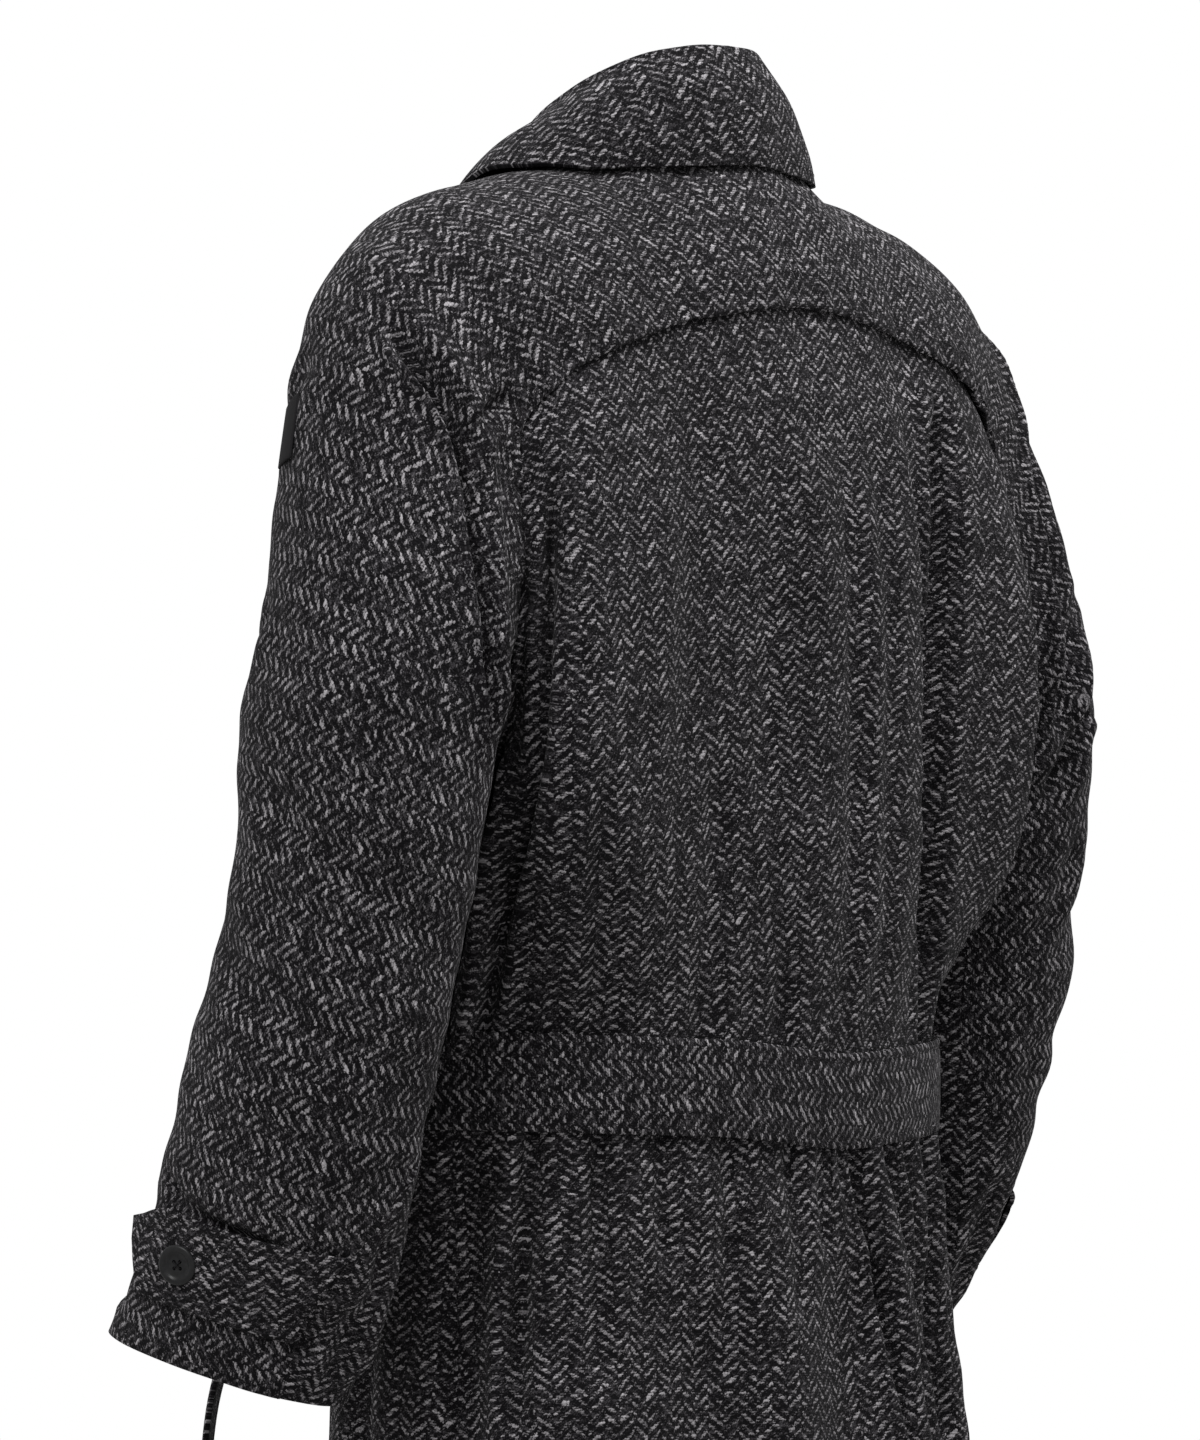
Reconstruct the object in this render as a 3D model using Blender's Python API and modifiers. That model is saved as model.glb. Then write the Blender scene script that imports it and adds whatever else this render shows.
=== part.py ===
"""A belted balmacaan coat in herringbone tweed, worn open-hollow on a general figure.

The coat hangs from the shoulders: the origin is the nape, +Z is up, the front looks along -Y
and the wearer's left is +X. The back yoke is cut in one with the top of each sleeve, the back
and the fronts hang from the yoke and raglan seams, and a belt gathers the waist.
"""

import math
from types import SimpleNamespace

import bpy
from mathutils import Vector

# Driving sizes, in metres.
WALL = 0.0022  # one thickness of coat tweed with its interlining
LAP = 0.0018  # how far the turned yoke edge stands proud of the back
SEAM = 0.0005  # clear space between two pieces along a seam
OVERLAP_LIFT = 0.0028  # the left front lies this far out, over the right
OVERLAP_START = 0.094  # how far forward of the neck's axis that begins, at the waist
UNDERARM_SPACE = 0.0055  # the body's cloth stands this far in from the sleeve under the arm
HEM = -1.12  # height of the hem below the nape
WAIST = -0.555  # height of the middle of the belt
BELT_WIDTH = 0.056
BELT_THICK = 0.0045
BELT_OFF = 0.0018  # the belt's inner face off the coat
BUCKLE_BAR = 0.0035  # half the thickness of the buckle's frame
BELT_STEP = 7.5  # degrees round the body between the belt's lines
BELT_END_OFF = BELT_OFF + 2 * BELT_THICK + 0.0005  # the free end's outer face off the coat
STRAP_WIDTH = 0.048
STRAP_THICK = 0.0036
STRAP_STATION = 12.81  # the strap's middle, along the sleeve
STRAP_BUTTON, STRAP_TIP = -18.0, -62.0  # its places round the sleeve
STRAP_POINT = -0.2  # how far over the strap's middle its point lies, as a share of the width
STATION_LENGTH = 0.0475  # of the sleeve at the strap
BUTTON_RADIUS = 0.0115
BUTTON_THICK = 0.0036
SIDE_ANGLE = 9.0  # the side seam's place round the body, in degrees from +X
HANDOVER, LEVEL = 0.30, 0.42  # shares of a panel's rows: below its seam's curve, then level
LEVEL_HEIGHT = -0.50  # below this the rows of a panel are level
PANEL_SHARES = (0, 0.06, 0.13, 0.21, HANDOVER, 0.36, LEVEL, 0.444, 0.472, 0.50, 0.53, 0.59)
PANEL_SHARES += (0.68, 0.78, 0.89, 1)
NECK_FRONT = -52.0  # where the front raglan seam meets the neck, round the neck
CORNER = 30.0  # where the back folds over behind the arm, round the body
CORNER_WIDTH = 8.5
ROUNDNESS = 2.1  # 2 is an ellipse

TWEED = ("herringbone_tweed", (0.045, 0.043, 0.046), 0.95)
HORN = ("horn_button", (0.022, 0.021, 0.022), 0.35)
LEATHER = ("buckle_leather", (0.018, 0.017, 0.018), 0.5)


class Sections:
    """Rows of named sizes; the first column is the place, and values between rows curve."""

    def __init__(self, columns, *rows):
        self.columns = columns.split()
        self.rows = rows

    def slope(self, index, column):
        low, high = max(index - 1, 0), min(index + 1, len(self.rows) - 1)
        before, after = self.rows[low], self.rows[high]
        return (after[column] - before[column]) / (after[0] - before[0])

    def at(self, place):
        index = 0
        while index < len(self.rows) - 2 and place > self.rows[index + 1][0]:
            index += 1
        low, high = self.rows[index], self.rows[index + 1]
        step = high[0] - low[0]
        t = min(max((place - low[0]) / step, 0.0), 1.0)
        values = {}
        for column, name in enumerate(self.columns):
            rise, fall = self.slope(index, column) * step, self.slope(index + 1, column) * step
            values[name] = hermite(low[column], rise, high[column], fall, t)
        return SimpleNamespace(**values)


def hermite(start, leave, end, arrive, t):
    """A value or a point on the curve from start to end with the given end slopes."""
    a, b = 2 * t**3 - 3 * t**2 + 1, t**3 - 2 * t**2 + t
    return start * a + leave * b + end * (1 - a) + arrive * (t**3 - t**2)


def ease(t):
    t = min(max(t, 0.0), 1.0)
    return t * t * (3 - 2 * t)


# The body below the arms: half sizes of each level ring, and how far the back corners swell.
BODY = Sections(
    "drop side back front corner",
    (0.20, 0.222, 0.146, 0.128, 0.060),
    (0.30, 0.222, 0.152, 0.136, 0.064),
    (0.37, 0.221, 0.153, 0.137, 0.060),
    (0.43, 0.220, 0.152, 0.135, 0.044),
    (0.48, 0.219, 0.148, 0.129, 0.018),
    (0.515, 0.219, 0.143, 0.121, 0.002),
    (0.555, 0.219, 0.142, 0.119, 0.000),
    (0.595, 0.219, 0.143, 0.121, 0.000),
    (0.64, 0.219, 0.149, 0.132, 0.004),
    (0.72, 0.220, 0.156, 0.148, 0.008),
    (0.82, 0.230, 0.168, 0.166, 0.014),
    (0.97, 0.256, 0.187, 0.184, 0.022),
    (1.13, 0.284, 0.203, 0.196, 0.026),
)

# Large folds of the body: angle round it, change of angle per metre down, start and end below
# the nape, half width in degrees, and depth (below zero is a trough).
FOLD_COLUMNS = "angle lean start end width depth"
FOLDS = [
    SimpleNamespace(**dict(zip(FOLD_COLUMNS.split(), row)))
    for row in (
        (131, -6, 0.10, 0.54, 7, -0.012),
        (119, -4, 0.14, 0.54, 8, 0.007),
        (62, 8, 0.16, 0.53, 9, -0.005),
        (52, 10, 0.60, 1.40, 9, -0.016),
        (70, 3, 0.60, 1.40, 9, 0.010),
        (92, 0, 0.60, 1.40, 10, -0.008),
        (112, -4, 0.60, 1.40, 9, 0.010),
        (131, -8, 0.60, 1.40, 9, -0.016),
        (-35, 0, 0.60, 1.40, 10, -0.012),
        (-62, 0, 0.60, 1.40, 10, 0.010),
        (-118, 0, 0.60, 1.40, 10, 0.010),
        (-145, 0, 0.60, 1.40, 10, -0.012),
    )
]

# The shoulder and sleeve: the centre of each ring, how far its outer side is turned down from
# upright (tilt) and its long axis turned inward (turn), its half sizes outward, back and front,
# the slope of its plane to the back, and the angles of the back and front seams on it.
SLEEVE = Sections(
    "station x y z tilt turn out back front slope seam_back seam_front",
    (1.0, 0.110, 0.012, -0.110, 0, 0, 0.089, 0.099, 0.096, 0.0, 90, -92),
    (2.0, 0.165, 0.014, -0.125, 0, 0, 0.094, 0.094, 0.094, 0.0, 90, -98),
    (3.0, 0.206, 0.017, -0.144, 10, 0, 0.097, 0.083, 0.083, 0.0, 91, -105),
    (4.0, 0.233, 0.022, -0.166, 28, 0, 0.091, 0.070, 0.074, 0.0, 96, -112),
    (5.0, 0.252, 0.029, -0.203, 52, 0, 0.075, 0.069, 0.070, 0.0, 106, -120),
    (6.0, 0.270, 0.036, -0.256, 70, 0, 0.067, 0.074, 0.072, 0.0, 120, -130),
    (7.0, 0.286, 0.040, -0.308, 78, 0, 0.066, 0.076, 0.074, 0.0, 135, -140),
    (8.0, 0.296, 0.039, -0.355, 82, 0, 0.066, 0.076, 0.075, 0.0, 150, -150),
    (9.0, 0.299, 0.035, -0.410, 87, 0, 0.063, 0.074, 0.073, -0.05, 150, -150),
    (10.0, 0.304, 0.024, -0.475, 90, 0, 0.060, 0.071, 0.071, -0.15, 147, -150),
    (11.0, 0.307, 0.006, -0.540, 90, 2, 0.060, 0.072, 0.072, -0.22, 134, -150),
    (12.0, 0.306, -0.014, -0.605, 90, 8, 0.057, 0.074, 0.073, -0.25, 72, -150),
    (13.0, 0.301, -0.036, -0.660, 88, 15, 0.053, 0.073, 0.075, -0.26, 42, -150),
    (14.0, 0.297, -0.051, -0.712, 84, 20, 0.051, 0.060, 0.081, -0.27, 36, -150),
)
UNDERARM = 8.0  # the station whose ring closes under the arm
RAGLAN_STATIONS = (0, 0.3, 0.65, 1.0, 1.5, 2.0, 2.6, 3.2, 3.8, 4.4, 5.0, 5.7, 6.4, 7.2, 8.0)
CUFF = 14.0
SLEEVE_STATIONS = (8.7, 9.5, 10.3, 11.0, 11.4, 11.8, 12.2, 12.6, 13.0, 13.5, CUFF)

# The neck seam round the neck: its distance from the neck's axis and its drop.
NECK = Sections(
    "angle radius drop",
    (-90, 0.082, 0.078),
    (-45, 0.080, 0.045),
    (0, 0.079, 0.014),
    (45, 0.072, 0.003),
    (90, 0.064, 0.000),
)

# The collar round the neck: its fold line, then its outer edge, whose ring is centred further
# back because the collar lies on the shoulders.
COLLAR = Sections(
    "angle fold_radius fold_rise edge_x edge_y edge_drop",
    (-90, 0.083, -0.066, 0.000, -0.112, 0.136),
    (-70, 0.080, -0.044, 0.060, -0.103, 0.109),
    (-45, 0.078, -0.018, 0.104, -0.0715, 0.057),
    (-20, 0.078, 0.004, 0.1285, -0.0205, 0.0215),
    (0, 0.077, 0.021, 0.128, 0.021, 0.018),
    (30, 0.075, 0.043, 0.1035, 0.059, 0.0185),
    (60, 0.071, 0.053, 0.0595, 0.0805, 0.0175),
    (90, 0.068, 0.055, 0.000, 0.0890, 0.0165),
)
YOKE_APEX = Vector((0.0, 0.115, -0.095))  # the top of the yoke's arch, at the centre back
NECK_SHARE, RIDGE_SHARE = 0.22, 0.5  # shares of a top sleeve's rows: centre back, shoulder line

# Where each station of the raglan seams hands over to the body rings.
BACK_PANEL = Sections(
    "station angle drop lean",
    (0.0, 90, 0.285, 0.30),
    (1.0, 54, 0.285, 0.32),
    (2.0, 40, 0.295, 0.40),
    (3.0, 33, 0.310, 0.50),
    (4.0, 28, 0.330, 0.55),
    (5.0, 24, 0.350, 0.50),
    (6.0, 20, 0.372, 0.40),
    (7.0, 16, 0.392, 0.25),
    (8.0, 12, 0.405, 0.05),
    (8.5, SIDE_ANGLE, 0.410, -0.05),
)
FRONT_PANEL = Sections(
    "station angle drop lean",
    (-1.0, -90, 0.27, -0.25),
    (0.0, -70, 0.27, -0.25),
    (1.0, -50, 0.28, -0.25),
    (2.0, -36, 0.29, -0.25),
    (3.0, -28, 0.31, -0.22),
    (4.0, -22, 0.33, -0.20),
    (5.0, -16, 0.35, -0.16),
    (6.0, -10, 0.372, -0.10),
    (7.0, -3, 0.392, -0.05),
    (8.0, 4, 0.405, 0.0),
    (8.5, SIDE_ANGLE, 0.410, 0.0),
)


def body_point(angle, height):
    """A point of the coat's outside below the arms."""
    row = BODY.at(-height)
    across, along = math.cos(math.radians(angle)), math.sin(math.radians(angle))
    depth = row.back if along > 0 else row.front
    radius = ((abs(across) / row.side) ** ROUNDNESS + (abs(along) / depth) ** ROUNDNESS) ** (
        -1 / ROUNDNESS
    )
    for corner in (CORNER, 180 - CORNER):
        radius += row.corner * math.exp(-(((angle - corner) / CORNER_WIDTH) ** 2) / 2)
    for fold in FOLDS:
        reach = ease((-height - fold.start) / 0.12) * ease((fold.end + height) / 0.10)
        off = angle - fold.angle - fold.lean * (-height - fold.start)
        off = (off + 180) % 360 - 180
        radius += fold.depth * reach * math.exp(-((off / fold.width) ** 2) / 2)
    return Vector((radius * across, radius * along, height))


def sleeve_point(station, angle):
    """A point of the left shoulder or sleeve: 0 is its outer line, 90 its back, -90 its front."""
    row = SLEEVE.at(station)
    tilt, turn = math.radians(row.tilt), math.radians(row.turn)
    outward = Vector((math.sin(tilt), 0, math.cos(tilt)))
    back = Vector((0, 1, row.slope))
    turned_out = outward * math.cos(turn) + back * math.sin(turn)
    turned_back = back * math.cos(turn) - outward * math.sin(turn)
    depth = row.back if math.sin(math.radians(angle)) > 0 else row.front
    return (
        Vector((row.x, row.y, row.z))
        + turned_out * row.out * math.cos(math.radians(angle))
        + turned_back * depth * math.sin(math.radians(angle))
    )


def neck_point(angle):
    row = NECK.at(angle)
    turn = math.radians(angle)
    return Vector((row.radius * math.cos(turn), row.radius * math.sin(turn), -row.drop))


def yoke_start(share):
    """The left yoke's inner edge: up the centre back, then round the neck to the front."""
    if share < NECK_SHARE:
        t = share / NECK_SHARE
        nape = neck_point(90)
        return hermite(YOKE_APEX, Vector((0, -0.016, 0.10)), nape, Vector((0, -0.075, 0.035)), t)
    if share < RIDGE_SHARE:
        return neck_point(90 - 90 * (share - NECK_SHARE) / (RIDGE_SHARE - NECK_SHARE))
    return neck_point(NECK_FRONT * (share - RIDGE_SHARE) / (1 - RIDGE_SHARE))


def top_sleeve_point(station, share):
    """The yoke and top sleeve: share 0 is the back seam, 0.5 the shoulder line, 1 the front."""

    def on_ring(place):
        row = SLEEVE.at(place)
        end = row.seam_back if share < RIDGE_SHARE else row.seam_front
        return sleeve_point(place, end * abs(share - RIDGE_SHARE) / RIDGE_SHARE)

    if station >= 1:
        return on_ring(station)
    start, end = yoke_start(share), on_ring(1.0)
    arrive = (on_ring(1.01) - end) / 0.01
    out = ease((share - 0.05) / NECK_SHARE)
    leave = Vector((0.11, 0.02 * (1 - out), -0.012 * out))
    if share > RIDGE_SHARE:
        leave += Vector((-0.03, -0.02, -0.03)) * ease((share - RIDGE_SHARE) / 0.4)
    return hermite(start, leave, end, arrive, station)


def underarm_point(share):
    """The ring under the arm, from the back seam (0) to the front seam (1)."""
    row = SLEEVE.at(UNDERARM)
    end = row.seam_back + (360 + row.seam_front - row.seam_back) * share
    return sleeve_point(UNDERARM, end)


def back_seam(station):
    """The left back's upper edge: the yoke's arch, then down the raglan seam to the underarm."""
    if station <= UNDERARM:
        return top_sleeve_point(station, 0.0)
    return underarm_point((station - UNDERARM))


def front_seam(station):
    if station < 0:
        return neck_point(NECK_FRONT - (90 + NECK_FRONT) * -station)
    if station <= UNDERARM:
        return top_sleeve_point(station, 1.0)
    return underarm_point(1 - (station - UNDERARM))


def side_point(angle, height, side):
    """A body point of the left half, or of the right half mirrored to the left."""
    point = body_point(angle if side > 0 else 180 - angle, height)
    return Vector((point.x * side, point.y, point.z))


def panel_point(panel, seam, station, drop_share, side):
    """A panel of the body: 0 is its upper seam, 1 its hem; it leaves the seam at its lean."""
    row = panel.at(station)
    top = seam(station) - Vector((UNDERARM_SPACE * ease((station - 6.2) / 1.5), 0, 0))
    if drop_share >= LEVEL:
        height = LEVEL_HEIGHT + (HEM - LEVEL_HEIGHT) * (drop_share - LEVEL) / (1 - LEVEL)
        return side_point(row.angle, height, side)
    if drop_share >= HANDOVER:
        t = (drop_share - HANDOVER) / (LEVEL - HANDOVER)
        return side_point(row.angle, -row.drop + (LEVEL_HEIGHT + row.drop) * t, side)
    end = side_point(row.angle, -row.drop, side)
    fall = top.z - end.z
    leave = Vector((0, row.lean, -1)).normalized() * fall
    return hermite(top, leave, end, Vector((0, 0, -fall)), drop_share / HANDOVER)


def spread(low, high, count):
    return [low + (high - low) * i / (count - 1) for i in range(count)]


def mirrored(points, side):
    return [[Vector((p.x * side, p.y, p.z)) for p in line] for line in points]


def inset(points, seams, space=SEAM / 2):
    """Draws a grid's edges in along the cloth, so that seamed neighbours stay apart."""
    grid = [[p.copy() for p in line] for line in points]
    if "first" in seams:
        for i, p in enumerate(grid[0]):
            grid[0][i] = p + (points[1][i] - p).normalized() * space
    if "last" in seams:
        for i, p in enumerate(grid[-1]):
            grid[-1][i] = p + (points[-2][i] - p).normalized() * space
    for line in grid:
        if "start" in seams:
            line[0] = line[0] + (line[1] - line[0]).normalized() * space
        if "end" in seams:
            line[-1] = line[-1] + (line[-2] - line[-1]).normalized() * space
    return grid


def normals(points):
    """The cloth's outward direction at each point of a grid of lines."""
    result = []
    for i, line in enumerate(points):
        before, after = points[max(i - 1, 0)], points[min(i + 1, len(points) - 1)]
        row = []
        for j in range(len(line)):
            down = after[j] - before[j]
            along = line[min(j + 1, len(line) - 1)] - line[max(j - 1, 0)]
            row.append(down.cross(along).normalized())
        result.append(row)
    return result


def raised(points, height):
    """A grid moved out along its normals; height may be a function of its line and place."""
    outward = normals(points)
    lift = height if callable(height) else lambda i, j: height
    return [
        [p + outward[i][j] * lift(i, j) for j, p in enumerate(line)]
        for i, line in enumerate(points)
    ]


def material(kind):
    name, color, roughness = kind
    made = bpy.data.materials.get(name)
    if made is None:
        made = bpy.data.materials.new(name)
        made.use_nodes = True
        shader = made.node_tree.nodes["Principled BSDF"]
        shader.inputs["Base Color"].default_value = (*color, 1.0)
        shader.inputs["Roughness"].default_value = roughness
        shader.inputs["Metallic"].default_value = 0.0
    return made


def placed(name, mesh, kind):
    obj = bpy.data.objects.new(name, mesh)
    mesh.materials.append(material(kind))
    bpy.data.collections["balmacaan_coat"].objects.link(obj)
    return obj


def cloth(name, points, side=1, wall=WALL, closed=False, kind=TWEED, shares=None):
    """A wall of cloth inside a grid of points, given for the left and mirrored for the right."""
    grid = mirrored(points, side)
    width = len(grid[0])
    verts = [p for line in grid for p in line]
    faces = []
    for i in range(len(grid) - 1):
        for j in range(width if closed else width - 1):
            k = (j + 1) % width
            face = (i * width + j, (i + 1) * width + j, (i + 1) * width + k, i * width + k)
            faces.append(face if side > 0 else face[::-1])
    mesh = bpy.data.meshes.new(name)
    mesh.from_pydata(verts, [], faces)
    mesh.shade_smooth()
    obj = placed(name, mesh, kind)
    wall_maker = obj.modifiers.new("wall", "SOLIDIFY")
    wall_maker.thickness = wall
    wall_maker.offset = -1
    if shares:
        group = obj.vertex_groups.new(name="thickness")
        for i, line in enumerate(grid):
            for j in range(width):
                group.add([i * width + j], shares(i, j), "REPLACE")
        wall_maker.vertex_group = group.name
    return obj


def build_backs(side, label):
    stations = [8.5, *RAGLAN_STATIONS[::-1]]
    lines = [
        [panel_point(BACK_PANEL, back_seam, station, share, side) for station in stations]
        for share in PANEL_SHARES
    ]
    grid = inset(lines, ("first", "start", "end"), 2 * SEAM)
    cloth(f"back_{label}", grid, side)


def build_fronts(side, label):
    stations = [-1, -0.6, -0.2, 0, *RAGLAN_STATIONS[2:], 8.5]
    lines = []
    for share in PANEL_SHARES:
        line = [panel_point(FRONT_PANEL, front_seam, at, share, side) for at in stations]
        past = [Vector((-p.x, p.y, p.z)) for p in (line[2], line[1])]
        lines.append(past + line)
    over = OVERLAP_LIFT if side > 0 else 0.0

    grid = inset(lines, ("first", "end"), 3 * SEAM)
    grid = raised(grid, lambda i, j: over * (1 - ease((j - 4) / 3)))
    cloth(f"front_{label}", grid, side)


def build_sleeves(side, label):
    stations = [*RAGLAN_STATIONS, *SLEEVE_STATIONS]
    shares = [0, 0.045, 0.10, 0.16, NECK_SHARE, 0.29, 0.36, 0.43, RIDGE_SHARE, 0.58, 0.66, 0.75]
    shares += [0.84, 0.92, 1.0]
    lines = [[top_sleeve_point(station, share) for share in shares] for station in stations]
    lines = [line[::-1] for line in lines]
    last = len(shares) - 1

    def lap(i, j):
        return ease(1 - (last - j) / 2) * (1 - ease((stations[i] - 4.5) / 2))

    grid = raised(inset(lines, ("first", "start", "end")), lambda i, j: LAP * lap(i, j))
    for p in grid[0]:
        p.x = max(p.x, 1.4 * SEAM)
    thick = WALL + LAP
    cloth(
        f"yoke_top_sleeve_{label}",
        grid,
        side,
        wall=thick,
        shares=lambda i, j: (WALL + LAP * lap(i, j)) / thick,
    )
    lower = [UNDERARM, *SLEEVE_STATIONS]
    under = []
    for station in lower:
        row = SLEEVE.at(station)
        angles = spread(row.seam_back, 360 + row.seam_front, 9)
        under.append([sleeve_point(station, angle) for angle in angles])
    under = [line[::-1] for line in under]
    cloth(f"under_sleeve_{label}", inset(under, ("first", "start", "end"), SEAM), side)


def build_strap(side, label):
    """A pointed strap round the cuff from the back sleeve seam, with its button near the tip."""
    lines = []
    for height in (-0.5, STRAP_POINT, 0.15, 0.5):
        station = STRAP_STATION + height * STRAP_WIDTH / STATION_LENGTH
        start = SLEEVE.at(station).seam_back - 1.5
        if height < STRAP_POINT:
            end = STRAP_TIP + 20 * (STRAP_POINT - height) / (STRAP_POINT + 0.5)
        else:
            end = STRAP_TIP + 7 * (height - STRAP_POINT) / (0.5 - STRAP_POINT)
        lines.append([sleeve_point(station, start + (end - start) * t) for t in spread(1, 0, 13)])
    stiff = lambda i, j: STRAP_THICK + 0.0010 + 0.004 * ease(1 - j / 3)
    cloth(f"cuff_strap_{label}", raised(lines, stiff), side, wall=STRAP_THICK)
    outward = normals(lines)[1][5]
    seat = sleeve_point(STRAP_STATION, STRAP_BUTTON)
    place = seat + outward * (STRAP_THICK + 0.0016 + BUTTON_THICK / 2)
    build_button(f"cuff_button_{label}", place, outward, side)


def build_button(name, place, outward, side=1):
    """A turned button: its profile runs from the middle of the face down its outer side."""
    profile = (
        (0.0, 0.42),
        (0.62, 0.36),
        (0.74, 0.5),
        (0.93, 0.5),
        (1.0, 0.2),
        (0.93, -0.4),
        (0.0, -0.5),
    )
    verts = [(r * BUTTON_RADIUS, 0, z * BUTTON_THICK) for r, z in profile]
    edges = [(k, k + 1) for k in range(len(profile) - 1)]
    mesh = bpy.data.meshes.new(name)
    mesh.from_pydata(verts, edges, [])
    obj = placed(name, mesh, HORN)
    turned = obj.modifiers.new("turned", "SCREW")
    turned.steps = turned.render_steps = 16
    turned.use_merge_vertices = True
    turned.merge_threshold = 0.00001
    turned.use_smooth_shade = False
    direction = Vector((outward.x * side, outward.y, outward.z))
    obj.rotation_mode = "QUATERNION"
    obj.rotation_quaternion = direction.to_track_quat("Z", "Y")
    obj.location = Vector((place.x * side, place.y, place.z))


def build_collar():
    """Stand and fall in one: up from the neck seam, over the fold and down to the edge."""
    angles = spread(-86, 90, 13)
    lines = []
    for angle in angles:
        row = COLLAR.at(angle)
        turn = math.radians(angle)
        out = Vector((math.cos(turn), math.sin(turn), 0))
        foot = neck_point(angle) + Vector((0, 0, 0.0006)) - out * 0.0001
        top = out * row.fold_radius + Vector((0, 0, row.fold_rise))
        edge = Vector((row.edge_x, row.edge_y, -row.edge_drop))
        fall = edge - top
        spine = [foot, foot.lerp(top, 0.5) - out * 0.002]
        spine += [top - out * 0.0045 - Vector((0, 0, 0.006)), top]
        spine += [top + out * 0.005 - Vector((0, 0, 0.005))]
        for t in (0.35, 0.7, 1.0):
            bow = 0.006 * math.sin(math.pi * t)
            spine.append(top + out * 0.004 + (fall - out * 0.004) * t + out * bow)
        lines.append(spine)
    left = lines[:-1]
    right = [[Vector((-p.x, p.y, p.z)) for p in spine] for spine in left[::-1]]
    full = left + [lines[-1]] + right
    grid = [list(column) for column in zip(*full)]
    cloth("collar", grid, wall=0.0030)


def belt_point(angle, off):
    """A point off the coat at the waist, further out where the left front lies on the right."""
    point, row = body_point(angle, WAIST), BODY.at(-WAIST)
    flat = Vector((point.x / row.side**2, point.y / row.back**2, 0)).normalized()
    return point + flat * (off + OVERLAP_LIFT * ease((-point.y - OVERLAP_START) / 0.014))


def build_belt():
    off = BELT_OFF + BELT_THICK
    heights = (WAIST + BELT_WIDTH / 2, WAIST - BELT_WIDTH / 2)
    angles = [BELT_STEP * k for k in range(48)]
    grid = [[belt_point(angle, off) for angle in angles] for _ in heights]
    for line, height in zip(grid, heights):
        for p in line:
            p.z = height
    cloth("belt", grid, wall=BELT_THICK, closed=True)


def build_belt_end():
    """The belt's free end: through the buckle, along the left front, over itself and down."""
    path = []
    for angle in (*spread(-90, -90 + 4 * BELT_STEP, 5), -56):
        path.append(belt_point(angle, BELT_END_OFF))
    out = Vector((0.38, -0.925, 0))
    last = path[-1]
    hang = ((0.006, 0.010, 0.0), (0.014, 0.022, -0.025), (0.024, 0.042, -0.075))
    hang += ((0.036, 0.062, -0.13), (0.046, 0.078, -0.19), (0.050, 0.084, -0.26))
    path += [last + Vector((x, 0, z)) + out * off for x, off, z in hang]
    lines = []
    for k, p in enumerate(path):
        turn = ease((k - 5) / 3)
        across = Vector((0, 0, 1)).lerp(Vector((0.79, 0.61, 0.15)), turn).normalized()
        lines.append([p + across * BELT_WIDTH * v for v in (0.5, -0.5)])
    grid = [list(column) for column in zip(*lines)]
    cloth("belt_end", grid, wall=BELT_THICK)


def build_buckle():
    """A plain covered frame across the belt at the centre front."""
    curve = bpy.data.curves.new("belt_buckle", "CURVE")
    curve.dimensions = "3D"
    curve.bevel_depth = BUCKLE_BAR
    curve.bevel_resolution = 2
    spline = curve.splines.new("POLY")
    half_x, half_z, round_by = 0.024, BELT_WIDTH / 2 + 0.008, 0.007
    points = []
    for corner in range(4):
        sx, sz = ((1, 1), (-1, 1), (-1, -1), (1, -1))[corner]
        for k in range(4):
            turn = math.radians(90 * corner + 30 * k)
            points.append(
                (
                    sx * (half_x - round_by) + round_by * math.cos(turn),
                    sz * (half_z - round_by) + round_by * math.sin(turn),
                )
            )
    spline.points.add(len(points) - 1)
    depth = belt_point(-90, BELT_END_OFF + BUCKLE_BAR + 0.0003).y
    for point, (x, z) in zip(spline.points, points):
        point.co = (x, depth, WAIST + z, 1)
    spline.use_cyclic_u = True
    obj = bpy.data.objects.new("belt_buckle", curve)
    curve.materials.append(material(LEATHER))
    bpy.data.collections["balmacaan_coat"].objects.link(obj)


def build_front_buttons():
    rows = ((0.17, 0.24, 0.0007), (0.28, 0.06, 0.0001), (0.39, 0.0, 0.0005), (0.70, 0.2, 0.0007))
    for number, (drop, lean, seat) in enumerate(rows, start=1):
        surface = body_point(-90, min(-drop, -0.27))
        if drop < 0.27:
            t = (drop - 0.078) / (0.27 - 0.078) * HANDOVER
            surface = panel_point(FRONT_PANEL, front_seam, -1, t, 1)
        outward = Vector((0, -1, lean)).normalized()
        place = surface + outward * (OVERLAP_LIFT + BUTTON_THICK / 2 + seat)
        build_button(f"front_button_{number}", place, outward)


def build_patch():
    """A small bare tab sewn to the outside of the left upper sleeve."""
    stations, angles = spread(4.95, 5.45, 4), spread(-44, -26, 4)
    lines = [[sleeve_point(station, angle) for angle in angles] for station in stations]
    cloth("sleeve_patch", raised(lines, 0.0024), wall=0.0018)


def main():
    for obj in list(bpy.data.objects):
        bpy.data.objects.remove(obj, do_unlink=True)
    collection = bpy.data.collections.new("balmacaan_coat")
    bpy.context.scene.collection.children.link(collection)
    for side, label in ((1, "left"), (-1, "right")):
        build_backs(side, label)
        build_fronts(side, label)
        build_sleeves(side, label)
        build_strap(side, label)
    build_collar()
    build_belt()
    build_belt_end()
    build_buckle()
    build_front_buttons()
    build_patch()


main()
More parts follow.
